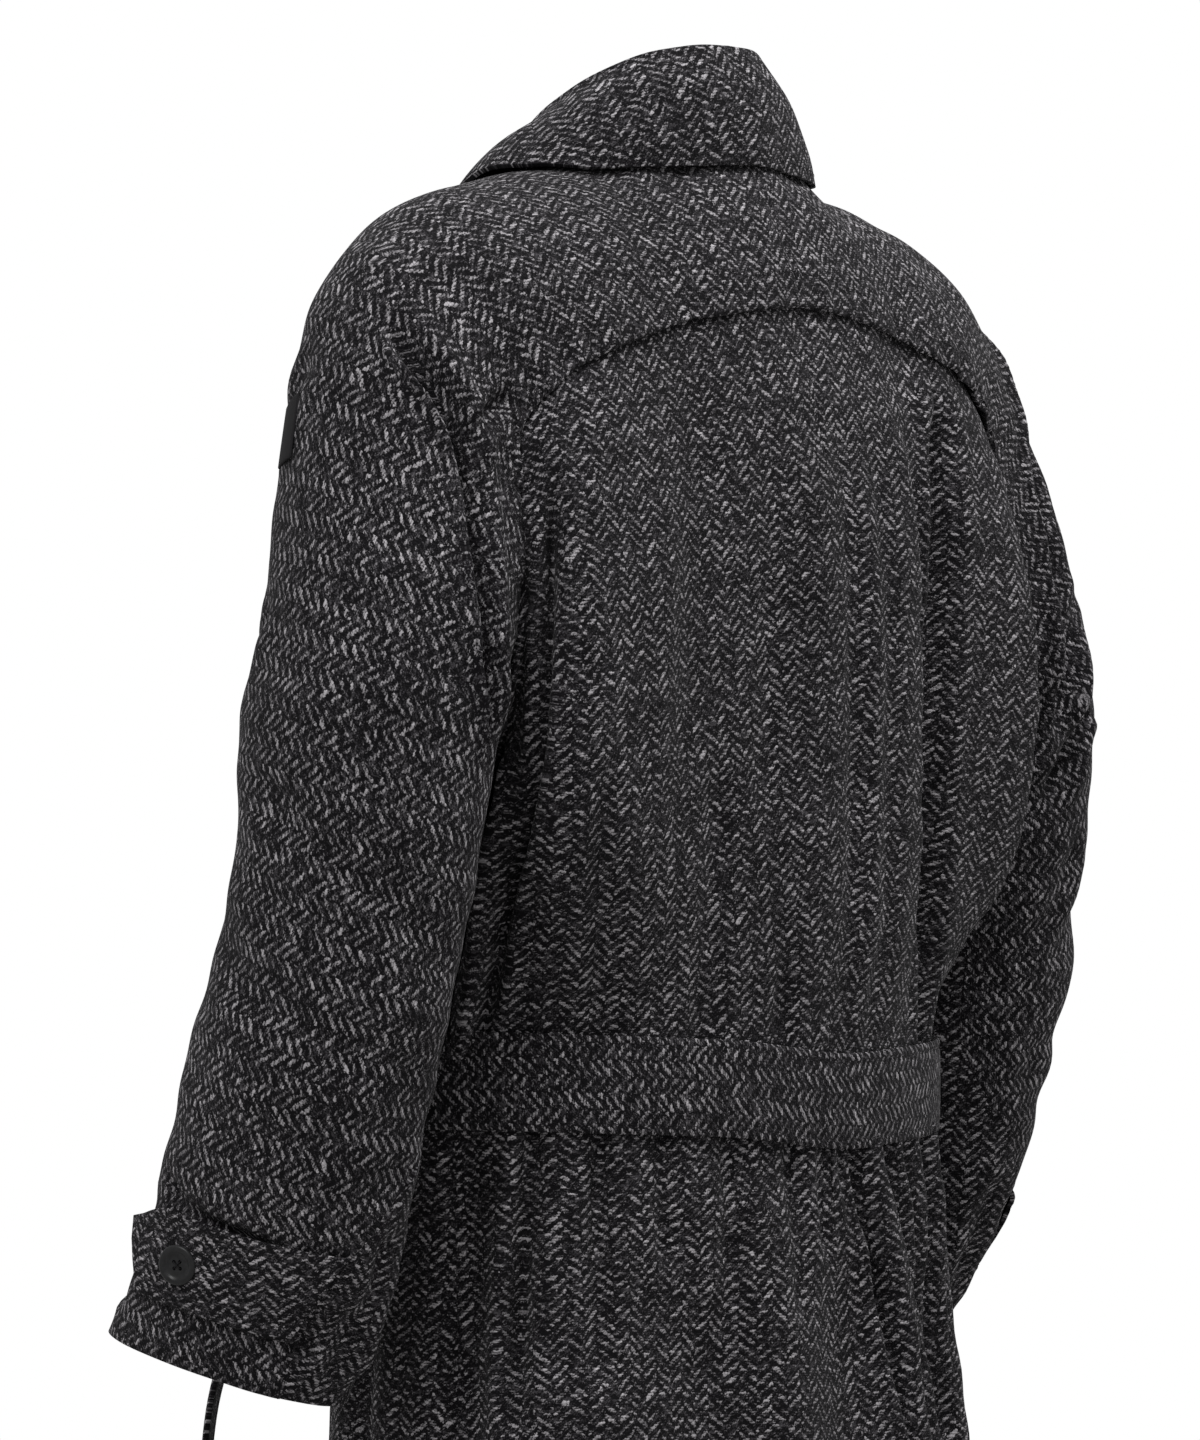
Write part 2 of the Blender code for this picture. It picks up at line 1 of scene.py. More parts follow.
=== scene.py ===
import math
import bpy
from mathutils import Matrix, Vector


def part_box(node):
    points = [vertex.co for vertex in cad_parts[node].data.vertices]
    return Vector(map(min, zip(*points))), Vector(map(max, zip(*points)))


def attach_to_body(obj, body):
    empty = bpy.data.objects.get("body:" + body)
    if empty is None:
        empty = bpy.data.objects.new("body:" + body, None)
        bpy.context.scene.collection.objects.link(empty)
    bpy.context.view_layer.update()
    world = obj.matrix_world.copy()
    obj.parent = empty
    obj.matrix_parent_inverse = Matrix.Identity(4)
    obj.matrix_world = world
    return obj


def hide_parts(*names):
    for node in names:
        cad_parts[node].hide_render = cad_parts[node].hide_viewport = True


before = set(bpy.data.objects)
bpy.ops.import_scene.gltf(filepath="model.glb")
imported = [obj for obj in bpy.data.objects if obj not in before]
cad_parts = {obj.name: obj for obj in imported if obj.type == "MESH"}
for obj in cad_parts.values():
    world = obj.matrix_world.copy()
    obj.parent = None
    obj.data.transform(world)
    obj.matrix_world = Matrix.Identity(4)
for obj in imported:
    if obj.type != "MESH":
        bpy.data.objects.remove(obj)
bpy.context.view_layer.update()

from types import SimpleNamespace

import bpy
import numpy as np
from mathutils import Vector

scene = bpy.context.scene

# The coat: nape at the origin, front along -Y, the wearer's left along +X, in metres.
coat = {
    "wall": 0.0022,  # tweed with its interlining
    "overlapLift": 0.0028,  # left front over right
    "overlapStart": 0.094,
    "underarmSpace": 0.0055,
    "hem": 1.12,
    "waist": 0.555,
    "sideAngle": 9.0,
    "roundness": 2.1,
    "corners": (30.0, 150.0),  # where the back folds over behind each arm
    "cornerWidth": 8.5,
    "handover": 0.30,
    "level": 0.42,
    "levelDrop": 0.50,
    "neckFront": -52.0,
    "neckShare": 0.22,
    "ridgeShare": 0.5,
    "underarm": 8.0,
    "yokeApex": (0.0, 0.115, -0.095),
}


def table(columns, *rows):
    return SimpleNamespace(names=columns.split(), rows=np.array(rows, float))


bodyRings = table(
    "drop side back front corner",
    (0.20, 0.222, 0.146, 0.128, 0.060),
    (0.30, 0.222, 0.152, 0.136, 0.064),
    (0.37, 0.221, 0.153, 0.137, 0.060),
    (0.43, 0.220, 0.152, 0.135, 0.044),
    (0.48, 0.219, 0.148, 0.129, 0.018),
    (0.515, 0.219, 0.143, 0.121, 0.002),
    (0.555, 0.219, 0.142, 0.119, 0.000),
    (0.595, 0.219, 0.143, 0.121, 0.000),
    (0.64, 0.219, 0.149, 0.132, 0.004),
    (0.72, 0.220, 0.156, 0.148, 0.008),
    (0.82, 0.230, 0.168, 0.166, 0.014),
    (0.97, 0.256, 0.187, 0.184, 0.022),
    (1.13, 0.284, 0.203, 0.196, 0.026),
)
bigFolds = (  # angle, lean, start, end, width, depth
    (131, -6, 0.10, 0.54, 7, -0.012),
    (119, -4, 0.14, 0.54, 8, 0.007),
    (62, 8, 0.16, 0.53, 9, -0.005),
    (52, 10, 0.60, 1.40, 9, -0.016),
    (70, 3, 0.60, 1.40, 9, 0.010),
    (92, 0, 0.60, 1.40, 10, -0.008),
    (112, -4, 0.60, 1.40, 9, 0.010),
    (131, -8, 0.60, 1.40, 9, -0.016),
    (-35, 0, 0.60, 1.40, 10, -0.012),
    (-62, 0, 0.60, 1.40, 10, 0.010),
    (-118, 0, 0.60, 1.40, 10, 0.010),
    (-145, 0, 0.60, 1.40, 10, -0.012),
)
sleeveRings = table(
    "station x y z tilt turn out back front slope seamBack seamFront",
    (1.0, 0.110, 0.012, -0.110, 0, 0, 0.089, 0.099, 0.096, 0.0, 90, -92),
    (2.0, 0.165, 0.014, -0.125, 0, 0, 0.094, 0.094, 0.094, 0.0, 90, -98),
    (3.0, 0.206, 0.017, -0.144, 10, 0, 0.097, 0.083, 0.083, 0.0, 91, -105),
    (4.0, 0.233, 0.022, -0.166, 28, 0, 0.091, 0.070, 0.074, 0.0, 96, -112),
    (5.0, 0.252, 0.029, -0.203, 52, 0, 0.075, 0.069, 0.070, 0.0, 106, -120),
    (6.0, 0.270, 0.036, -0.256, 70, 0, 0.067, 0.074, 0.072, 0.0, 120, -130),
    (7.0, 0.286, 0.040, -0.308, 78, 0, 0.066, 0.076, 0.074, 0.0, 135, -140),
    (8.0, 0.296, 0.039, -0.355, 82, 0, 0.066, 0.076, 0.075, 0.0, 150, -150),
    (9.0, 0.299, 0.035, -0.410, 87, 0, 0.063, 0.074, 0.073, -0.05, 150, -150),
    (10.0, 0.304, 0.024, -0.475, 90, 0, 0.060, 0.071, 0.071, -0.15, 147, -150),
    (11.0, 0.307, 0.006, -0.540, 90, 2, 0.060, 0.072, 0.072, -0.22, 134, -150),
    (12.0, 0.306, -0.014, -0.605, 90, 8, 0.057, 0.074, 0.073, -0.25, 72, -150),
    (13.0, 0.301, -0.036, -0.660, 88, 15, 0.053, 0.073, 0.075, -0.26, 42, -150),
    (14.0, 0.297, -0.051, -0.712, 84, 20, 0.051, 0.060, 0.081, -0.27, 36, -150),
)
neckRing = table(
    "angle radius drop",
    (-90, 0.082, 0.078),
    (-45, 0.080, 0.045),
    (0, 0.079, 0.014),
    (45, 0.072, 0.003),
    (90, 0.064, 0.000),
)
collarRing = table(
    "angle foldRadius foldRise edgeX edgeY edgeDrop",
    (-90, 0.083, -0.066, 0.000, -0.112, 0.136),
    (-70, 0.080, -0.044, 0.060, -0.103, 0.109),
    (-45, 0.078, -0.018, 0.104, -0.0715, 0.057),
    (-20, 0.078, 0.004, 0.1285, -0.0205, 0.0215),
    (0, 0.077, 0.021, 0.128, 0.021, 0.018),
    (30, 0.075, 0.043, 0.1035, 0.059, 0.0185),
    (60, 0.071, 0.053, 0.0595, 0.0805, 0.0175),
    (90, 0.068, 0.055, 0.000, 0.0890, 0.0165),
)
backPanel = table(
    "station angle drop lean",
    (0.0, 90, 0.285, 0.30),
    (1.0, 54, 0.285, 0.32),
    (2.0, 40, 0.295, 0.40),
    (3.0, 33, 0.310, 0.50),
    (4.0, 28, 0.330, 0.55),
    (5.0, 24, 0.350, 0.50),
    (6.0, 20, 0.372, 0.40),
    (7.0, 16, 0.392, 0.25),
    (8.0, 12, 0.405, 0.05),
    (8.5, coat["sideAngle"], 0.410, -0.05),
)
frontPanel = table(
    "station angle drop lean",
    (-1.0, -90, 0.27, -0.25),
    (0.0, -70, 0.27, -0.25),
    (1.0, -50, 0.28, -0.25),
    (2.0, -36, 0.29, -0.25),
    (3.0, -28, 0.31, -0.22),
    (4.0, -22, 0.33, -0.20),
    (5.0, -16, 0.35, -0.16),
    (6.0, -10, 0.372, -0.10),
    (7.0, -3, 0.392, -0.05),
    (8.0, 4, 0.405, 0.0),
    (8.5, coat["sideAngle"], 0.410, 0.0),
)


def hermite(start, leave, end, arrive, t):
    a, b = 2 * t**3 - 3 * t**2 + 1, t**3 - 2 * t**2 + t
    return start * a + leave * b + end * (1 - a) + arrive * (t**3 - t**2)


def ease(t):
    t = np.clip(t, 0.0, 1.0)
    return t * t * (3 - 2 * t)


def unit(vectors):
    return vectors / np.maximum(np.linalg.norm(vectors, axis=-1, keepdims=True), 1e-9)


def vec(x, y, z):
    return np.stack(np.broadcast_arrays(x, y, z), axis=-1).astype(float)


def read(source, place):
    # values between the rows of a table follow a smooth curve
    rows = source.rows
    place = np.asarray(place, float)
    last = len(rows) - 1
    index = np.clip(np.searchsorted(rows[:, 0], place, side="left") - 1, 0, last - 1)
    low, high = rows[index], rows[index + 1]
    before, after = rows[np.maximum(index - 1, 0)], rows[np.minimum(index + 2, last)]
    step = high[..., :1] - low[..., :1]
    leave = (high - before) / (high[..., :1] - before[..., :1]) * step
    arrive = (after - low) / (after[..., :1] - low[..., :1]) * step
    t = np.clip((place[..., None] - low[..., :1]) / step, 0, 1)
    values = hermite(low, leave, high, arrive, t)
    return SimpleNamespace(**{name: values[..., k] for k, name in enumerate(source.names)})


def bodyPoint(angle, drop):
    angle, drop = np.broadcast_arrays(np.asarray(angle, float), np.asarray(drop, float))
    row = read(bodyRings, drop)
    across, along = np.cos(np.radians(angle)), np.sin(np.radians(angle))
    depth = np.where(along > 0, row.back, row.front)
    power = coat["roundness"]
    radius = (np.abs(across / row.side) ** power + np.abs(along / depth) ** power) ** (-1 / power)
    for corner in coat["corners"]:
        radius = radius + row.corner * np.exp(-(((angle - corner) / coat["cornerWidth"]) ** 2) / 2)
    for middle, lean, start, end, width, fold in bigFolds:
        reach = ease((drop - start) / 0.12) * ease((end - drop) / 0.10)
        off = (angle - middle - lean * (drop - start) + 180) % 360 - 180
        radius = radius + fold * reach * np.exp(-((off / width) ** 2) / 2)
    return vec(radius * across, radius * along, -drop)


def sleevePoint(station, angle):
    # left sleeve: 0 is its outer line, 90 its back, -90 its front
    station, angle = np.broadcast_arrays(np.asarray(station, float), np.asarray(angle, float))
    row = read(sleeveRings, station)
    tilt, turn = np.radians(row.tilt), np.radians(row.turn)
    outward = vec(np.sin(tilt), 0, np.cos(tilt))
    back = vec(0, 1, row.slope)
    turnedOut = outward * np.cos(turn)[..., None] + back * np.sin(turn)[..., None]
    turnedBack = back * np.cos(turn)[..., None] - outward * np.sin(turn)[..., None]
    cosine, sine = np.cos(np.radians(angle)), np.sin(np.radians(angle))
    depth = np.where(sine > 0, row.back, row.front)
    return (
        vec(row.x, row.y, row.z)
        + turnedOut * (row.out * cosine)[..., None]
        + turnedBack * (depth * sine)[..., None]
    )


def neckPoint(angle):
    row = read(neckRing, angle)
    turn = np.radians(angle)
    return vec(row.radius * np.cos(turn), row.radius * np.sin(turn), -row.drop)


def yokeStart(share):
    share = np.asarray(share, float)
    neckShare, ridge = coat["neckShare"], coat["ridgeShare"]
    t = (np.clip(share, 0, neckShare) / neckShare)[..., None]
    apex = np.array(coat["yokeApex"])
    rise = hermite(
        apex, np.array((0, -0.016, 0.10)), neckPoint(90.0), np.array((0, -0.075, 0.035)), t
    )
    behind = neckPoint(90 - 90 * (share - neckShare) / (ridge - neckShare))
    ahead = neckPoint(coat["neckFront"] * (share - ridge) / (1 - ridge))
    around = np.where((share < ridge)[..., None], behind, ahead)
    return np.where((share < neckShare)[..., None], rise, around)


def topSleevePoint(station, share):
    station, share = np.broadcast_arrays(np.asarray(station, float), np.asarray(share, float))
    ridge = coat["ridgeShare"]

    def onRing(place):
        row = read(sleeveRings, place)
        end = np.where(share < ridge, row.seamBack, row.seamFront)
        return sleevePoint(place, end * np.abs(share - ridge) / ridge)

    start, end = yokeStart(share), onRing(np.full(share.shape, 1.0))
    arrive = (onRing(np.full(share.shape, 1.01)) - end) / 0.01
    out = ease((share - 0.05) / coat["neckShare"])
    leave = vec(0.11, 0.02 * (1 - out), -0.012 * out)
    forward = ease((share - ridge) / 0.4) * (share > ridge)
    leave = leave + vec(-0.03, -0.02, -0.03) * forward[..., None]
    near = hermite(start, leave, end, arrive, np.clip(station, 0, 1)[..., None])
    return np.where((station < 1)[..., None], near, onRing(np.maximum(station, 1.0)))


def underarmPoint(share):
    row = read(sleeveRings, coat["underarm"])
    end = row.seamBack + (360 + row.seamFront - row.seamBack) * share
    return sleevePoint(coat["underarm"], end)


def backSeam(station):
    upper = topSleevePoint(np.minimum(station, coat["underarm"]), 0.0)
    lower = underarmPoint(np.clip(station - coat["underarm"], 0, 1))
    return np.where((station <= coat["underarm"])[..., None], upper, lower)


def frontSeam(station):
    neck = neckPoint(coat["neckFront"] - (90 + coat["neckFront"]) * -np.clip(station, -1, 0))
    upper = topSleevePoint(np.clip(station, 0, coat["underarm"]), 1.0)
    lower = underarmPoint(1 - np.clip(station - coat["underarm"], 0, 1))
    upper = np.where((station < 0)[..., None], neck, upper)
    return np.where((station <= coat["underarm"])[..., None], upper, lower)


def sidePoint(angle, drop, side):
    point = bodyPoint(angle if side > 0 else 180 - angle, drop)
    return point * np.array((side, 1, 1))


def panelPoint(panel, seam, station, share, side):
    # a body panel: share 0 at its upper seam, 1 at the hem
    station, share = np.broadcast_arrays(np.asarray(station, float), np.asarray(share, float))
    row = read(panel, station)
    top = seam(station) - vec(coat["underarmSpace"] * ease((station - 6.2) / 1.5), 0, 0)
    handover, level = coat["handover"], coat["level"]
    low = coat["levelDrop"] + (coat["hem"] - coat["levelDrop"]) * (share - level) / (1 - level)
    t = np.clip((share - handover) / (level - handover), 0, 1)
    middle = row.drop + (coat["levelDrop"] - row.drop) * t
    drop = np.where(share >= level, low, middle)
    below = sidePoint(row.angle, drop, side)
    end = sidePoint(row.angle, row.drop, side)
    fall = (top - end)[..., 2:]
    leave = unit(vec(0, row.lean, -1)) * fall
    arrive = vec(0, 0, -1) * fall
    above = hermite(top, leave, end, arrive, np.clip(share / handover, 0, 1)[..., None])
    return np.where((share < handover)[..., None], above, below)


def outwardOf(points):
    down = np.gradient(points, axis=0)
    along = np.gradient(points, axis=1)
    return unit(np.cross(down, along))


def steps(*runs):
    # runs of (from, to, count), each starting where the last one ended
    places = [runs[0][0]]
    for low, high, count in runs:
        places += list(np.linspace(low, high, count + 1)[1:])
    return np.array(places)


def smoothPath(controls, count=36):
    controls = np.asarray(controls, float)
    place = np.arange(len(controls))
    slopes = np.gradient(controls, axis=0)
    at = np.linspace(0, len(controls) - 1, count)
    index = np.minimum(at.astype(int), len(controls) - 2)
    t = (at - place[index])[:, None]
    return hermite(controls[index], slopes[index], controls[index + 1], slopes[index + 1], t)


def creased(points, creases, onSurface, side=1, share=1.0):
    # each crease: its path, then in mm its depth (below zero is a trough) and its width on its left
    # and right as seen from outside with the path running down, and its lip: the swell beside it
    outward = outwardOf(points)
    flat, out = points.reshape(-1, 3), outward.reshape(-1, 3)
    move = np.zeros(len(flat))
    for number, (path, *sizes, lip) in enumerate(creases):
        depth, left, right = (size / 1000 for size in sizes)
        places = smoothPath(path)
        line = onSurface(places[:, 0], places[:, 1]) * np.array((side, 1, 1))
        reach = 3.2 * max(left, right) + 0.02
        close = np.all((flat > line.min(0) - reach) & (flat < line.max(0) + reach), axis=1)
        where = np.nonzero(close)[0]
        if len(where) == 0:
            continue
        start, run = line[:-1], line[1:] - line[:-1]
        rel = flat[where][:, None, :] - start[None]
        t = np.clip((rel * run).sum(-1) / np.maximum((run * run).sum(-1), 1e-12), 0, 1)
        away = rel - run[None] * t[..., None]
        size = np.linalg.norm(away, axis=-1)
        best = size.argmin(1)
        pick = np.arange(len(where))
        along = (best + t[pick, best]) / len(run)
        tangent = unit(run)[best]
        beside = (away[pick, best] * np.cross(out[where], tangent)).sum(-1) * side
        signed = np.where(beside < 0, -1, 1) * size[pick, best]
        width = np.where(signed < 0, left, right)
        ends = ease(along / 0.15) * ease((1 - along) / 0.15)
        ends = ends * (1 + 0.2 * np.sin(along * 9 + number * 2.1))
        trough = np.exp(-((signed / width) ** 2))
        swell = np.exp(-(((np.abs(signed) - 2.1 * width) / width) ** 2))
        move[where] += depth * ends * (trough - lip * swell)
    return points + outward * (move.reshape(points.shape[:2]) * share)[..., None]


def rippled(points, side=1, size=0.0011):
    # cloth is never quite even: slow waves in random directions, the same for every piece, so
    # that neighbours still meet at their seams
    random = np.random.default_rng(5)
    move = 0
    for _ in range(12):
        heading = random.normal(size=3)
        heading *= 2 * math.pi / random.uniform(0.035, 0.12) / np.linalg.norm(heading)
        phase = random.uniform(0, 2 * math.pi)
        move = move + np.sin(points * np.array((side, 1, 1)) @ heading + phase)
    return points + outwardOf(points) * (move * size / 3.5)[..., None]


def cumulative(points, axis):
    lengths = np.linalg.norm(np.diff(points, axis=axis), axis=-1).mean(1 - axis)
    return np.concatenate([[0.0], np.cumsum(lengths)])


def between(places, known, values):
    # smooth values at any place from the known ones, along the first axis
    slopes = np.gradient(values, known, axis=0)
    index = np.clip(np.searchsorted(known, places, side="right") - 1, 0, len(known) - 2)
    step = (known[index + 1] - known[index]).reshape(-1, *[1] * (values.ndim - 1))
    t = (places - known[index]).reshape(step.shape) / step
    leave, arrive = slopes[index] * step, slopes[index + 1] * step
    return hermite(values[index], leave, values[index + 1], arrive, t)


def spun(places, cosine, sine):
    x, y = places[..., 0], places[..., 1]
    return np.stack([x * cosine - y * sine, x * sine + y * cosine], -1)


def flattened(points, most=(38, 30), turns=40):
    # the pattern piece: the surface laid out flat with as little stretch as it can be
    def pick(count, limit):
        return np.unique(np.linspace(0, count - 1, min(count, limit)).round().astype(int))

    rows, columns = pick(points.shape[0], most[0]), pick(points.shape[1], most[1])
    coarse = points[np.ix_(rows, columns)]
    n, m = coarse.shape[:2]
    ids = np.arange(n * m).reshape(n, m)
    a, b, c, d = ids[:-1, :-1], ids[1:, :-1], ids[1:, 1:], ids[:-1, 1:]
    tris = np.concatenate([np.stack(three, -1).reshape(-1, 3) for three in ((a, b, c), (a, c, d))])
    corners = coarse.reshape(-1, 3)[tris]
    first, second = corners[:, 1] - corners[:, 0], corners[:, 2] - corners[:, 0]
    length = np.maximum(np.linalg.norm(first, axis=1), 1e-9)
    dot = (first * second).sum(1) / length
    height = np.linalg.norm(np.cross(first, second), axis=1) / length
    zero = np.zeros(len(tris))
    laid = ((zero, zero), (length, zero), (dot, height))
    local = np.stack([np.stack(place, 1) for place in laid], 1)
    matrix = np.zeros((n * m, n * m))
    edges = []
    for k in range(3):
        i, j = (k + 1) % 3, (k + 2) % 3
        one, two = local[:, i] - local[:, k], local[:, j] - local[:, k]
        cross = np.maximum(np.abs(one[:, 0] * two[:, 1] - one[:, 1] * two[:, 0]), 1e-12)
        weight = np.clip((one * two).sum(1) / cross, 0.02, 20) / 2
        edges.append((tris[:, i], tris[:, j], weight, local[:, i] - local[:, j]))
        for x, y in ((i, j), (j, i)):
            np.add.at(matrix, (tris[:, x], tris[:, x]), weight)
            np.add.at(matrix, (tris[:, x], tris[:, y]), -weight)
    matrix[0, 0] += 1
    solve = np.linalg.inv(matrix)
    down, across = cumulative(coarse, 0), cumulative(coarse, 1)
    flat = np.stack(np.broadcast_arrays(across[None, :], -down[:, None]), -1).reshape(-1, 2)
    area = (local[:, 1, 0] * local[:, 2, 1]).sum() / 2
    # turned the same way round as the cloth seen from outside: u to the right, v up
    one, two = flat[tris[:, 1]] - flat[tris[:, 0]], flat[tris[:, 2]] - flat[tris[:, 0]]
    if (one[:, 0] * two[:, 1] - one[:, 1] * two[:, 0]).sum() < 0:
        flat = flat * np.array((-1.0, 1.0))
    for _ in range(turns):
        cosine, sine = np.zeros(len(tris)), np.zeros(len(tris))
        for i, j, weight, edge in edges:
            now = flat[i] - flat[j]
            cosine += weight * (edge * now).sum(1)
            sine += weight * (edge[:, 0] * now[:, 1] - edge[:, 1] * now[:, 0])
        size = np.maximum(np.hypot(cosine, sine), 1e-12)
        cosine, sine = cosine / size, sine / size
        pull = np.zeros((n * m, 2))
        for i, j, weight, edge in edges:
            turned = spun(edge, cosine, sine) * weight[:, None]
            np.add.at(pull, i, turned)
            np.add.at(pull, j, -turned)
        flat = solve @ pull
    flat = flat.reshape(n, m, 2)
    down, across = cumulative(points, 0), cumulative(points, 1)
    wide = between(across, across[columns], flat.transpose(1, 0, 2)).transpose(1, 0, 2)
    full = between(down, down[rows], wide)
    return full, area


def onGrain(flat, start, end):
    # turns a pattern piece so that its grain line runs straight down, and starts it there
    line = end - start
    turn = -math.pi / 2 - math.atan2(line[1], line[0])
    return spun(flat - start, math.cos(turn), math.sin(turn))


def bentGrain(flat, middle, turns):
    # turns the grain row by row about the line of one column, as the cloth is eased in
    cosine, sine = np.cos(np.radians(turns)), np.sin(np.radians(turns))
    line = flat[:, middle]
    moves = spun(line[1:] - line[:-1], cosine[1:], sine[1:])
    moved = np.concatenate([line[:1], line[0] + np.cumsum(moves, 0)])
    return moved[:, None] + spun(flat - line[:, None], cosine[:, None], sine[:, None])


def takenUp(flat, points, turns=150):
    # the laid-out cloth settles until its threads have their true lengths, creases and all
    everything, early, late = slice(None), slice(None, -1), slice(1, None)
    pairs = [((everything, early), (everything, late)), ((early, everything), (late, everything))]
    pairs += [((early, early), (late, late)), ((early, late), (late, early))]
    spans = [np.linalg.norm(points[b] - points[a], axis=-1) for a, b in pairs]
    for _ in range(turns):
        move = np.zeros(flat.shape)
        for (a, b), span in zip(pairs, spans):
            gap = flat[b] - flat[a]
            length = np.maximum(np.hypot(gap[..., 0], gap[..., 1]), 1e-6)
            pull = gap * ((length - span) / length * 0.12)[..., None]
            move[a] += pull
            move[b] -= pull
        flat = flat + move
    return flat


# Materials. Colours are sRGB hex; one function turns them to linear.
def toLinear(hexColor):
    parts = [int(hexColor[k : k + 2], 16) / 255 for k in (1, 3, 5)]
    parts = [p / 12.92 if p <= 0.04045 else ((p + 0.055) / 1.055) ** 2.4 for p in parts]
    return (*parts, 1.0)


def setInputs(node, inputs):
    for key, value in inputs.items():
        if isinstance(value, bpy.types.Node):
            value = value.outputs[0]
        if isinstance(value, bpy.types.NodeSocket):
            node.id_data.links.new(value, node.inputs[key])
        else:
            node.inputs[key].default_value = value


def addNode(tree, kind, inputs=None, **settings):
    node = tree.nodes.new(kind)
    for name, value in settings.items():
        setattr(node, name, value)
    setInputs(node, inputs or {})
    return node


def newMaterial(name):
    made = bpy.data.materials.new(name)
    made.use_nodes = True
    tree = made.node_tree
    return made, tree, tree.nodes["Principled BSDF"]


tweed = {
    "column": 9.55,  # mm, one herringbone column: five ends
    "end": 1.91,  # mm between warp ends
    "pick": 1.6,  # mm between weft picks
    "dark": "#0e0d0f",
    "darkFleck": "#454346",
    "lightDeep": "#2b292c",
    "light": "#a19ea1",
    "bump": 0.0008,
    "wander": ((0.045, 2.6), (0.19, 1.5), (0.75, 1.4)),  # a noise's scale and its reach in mm
}


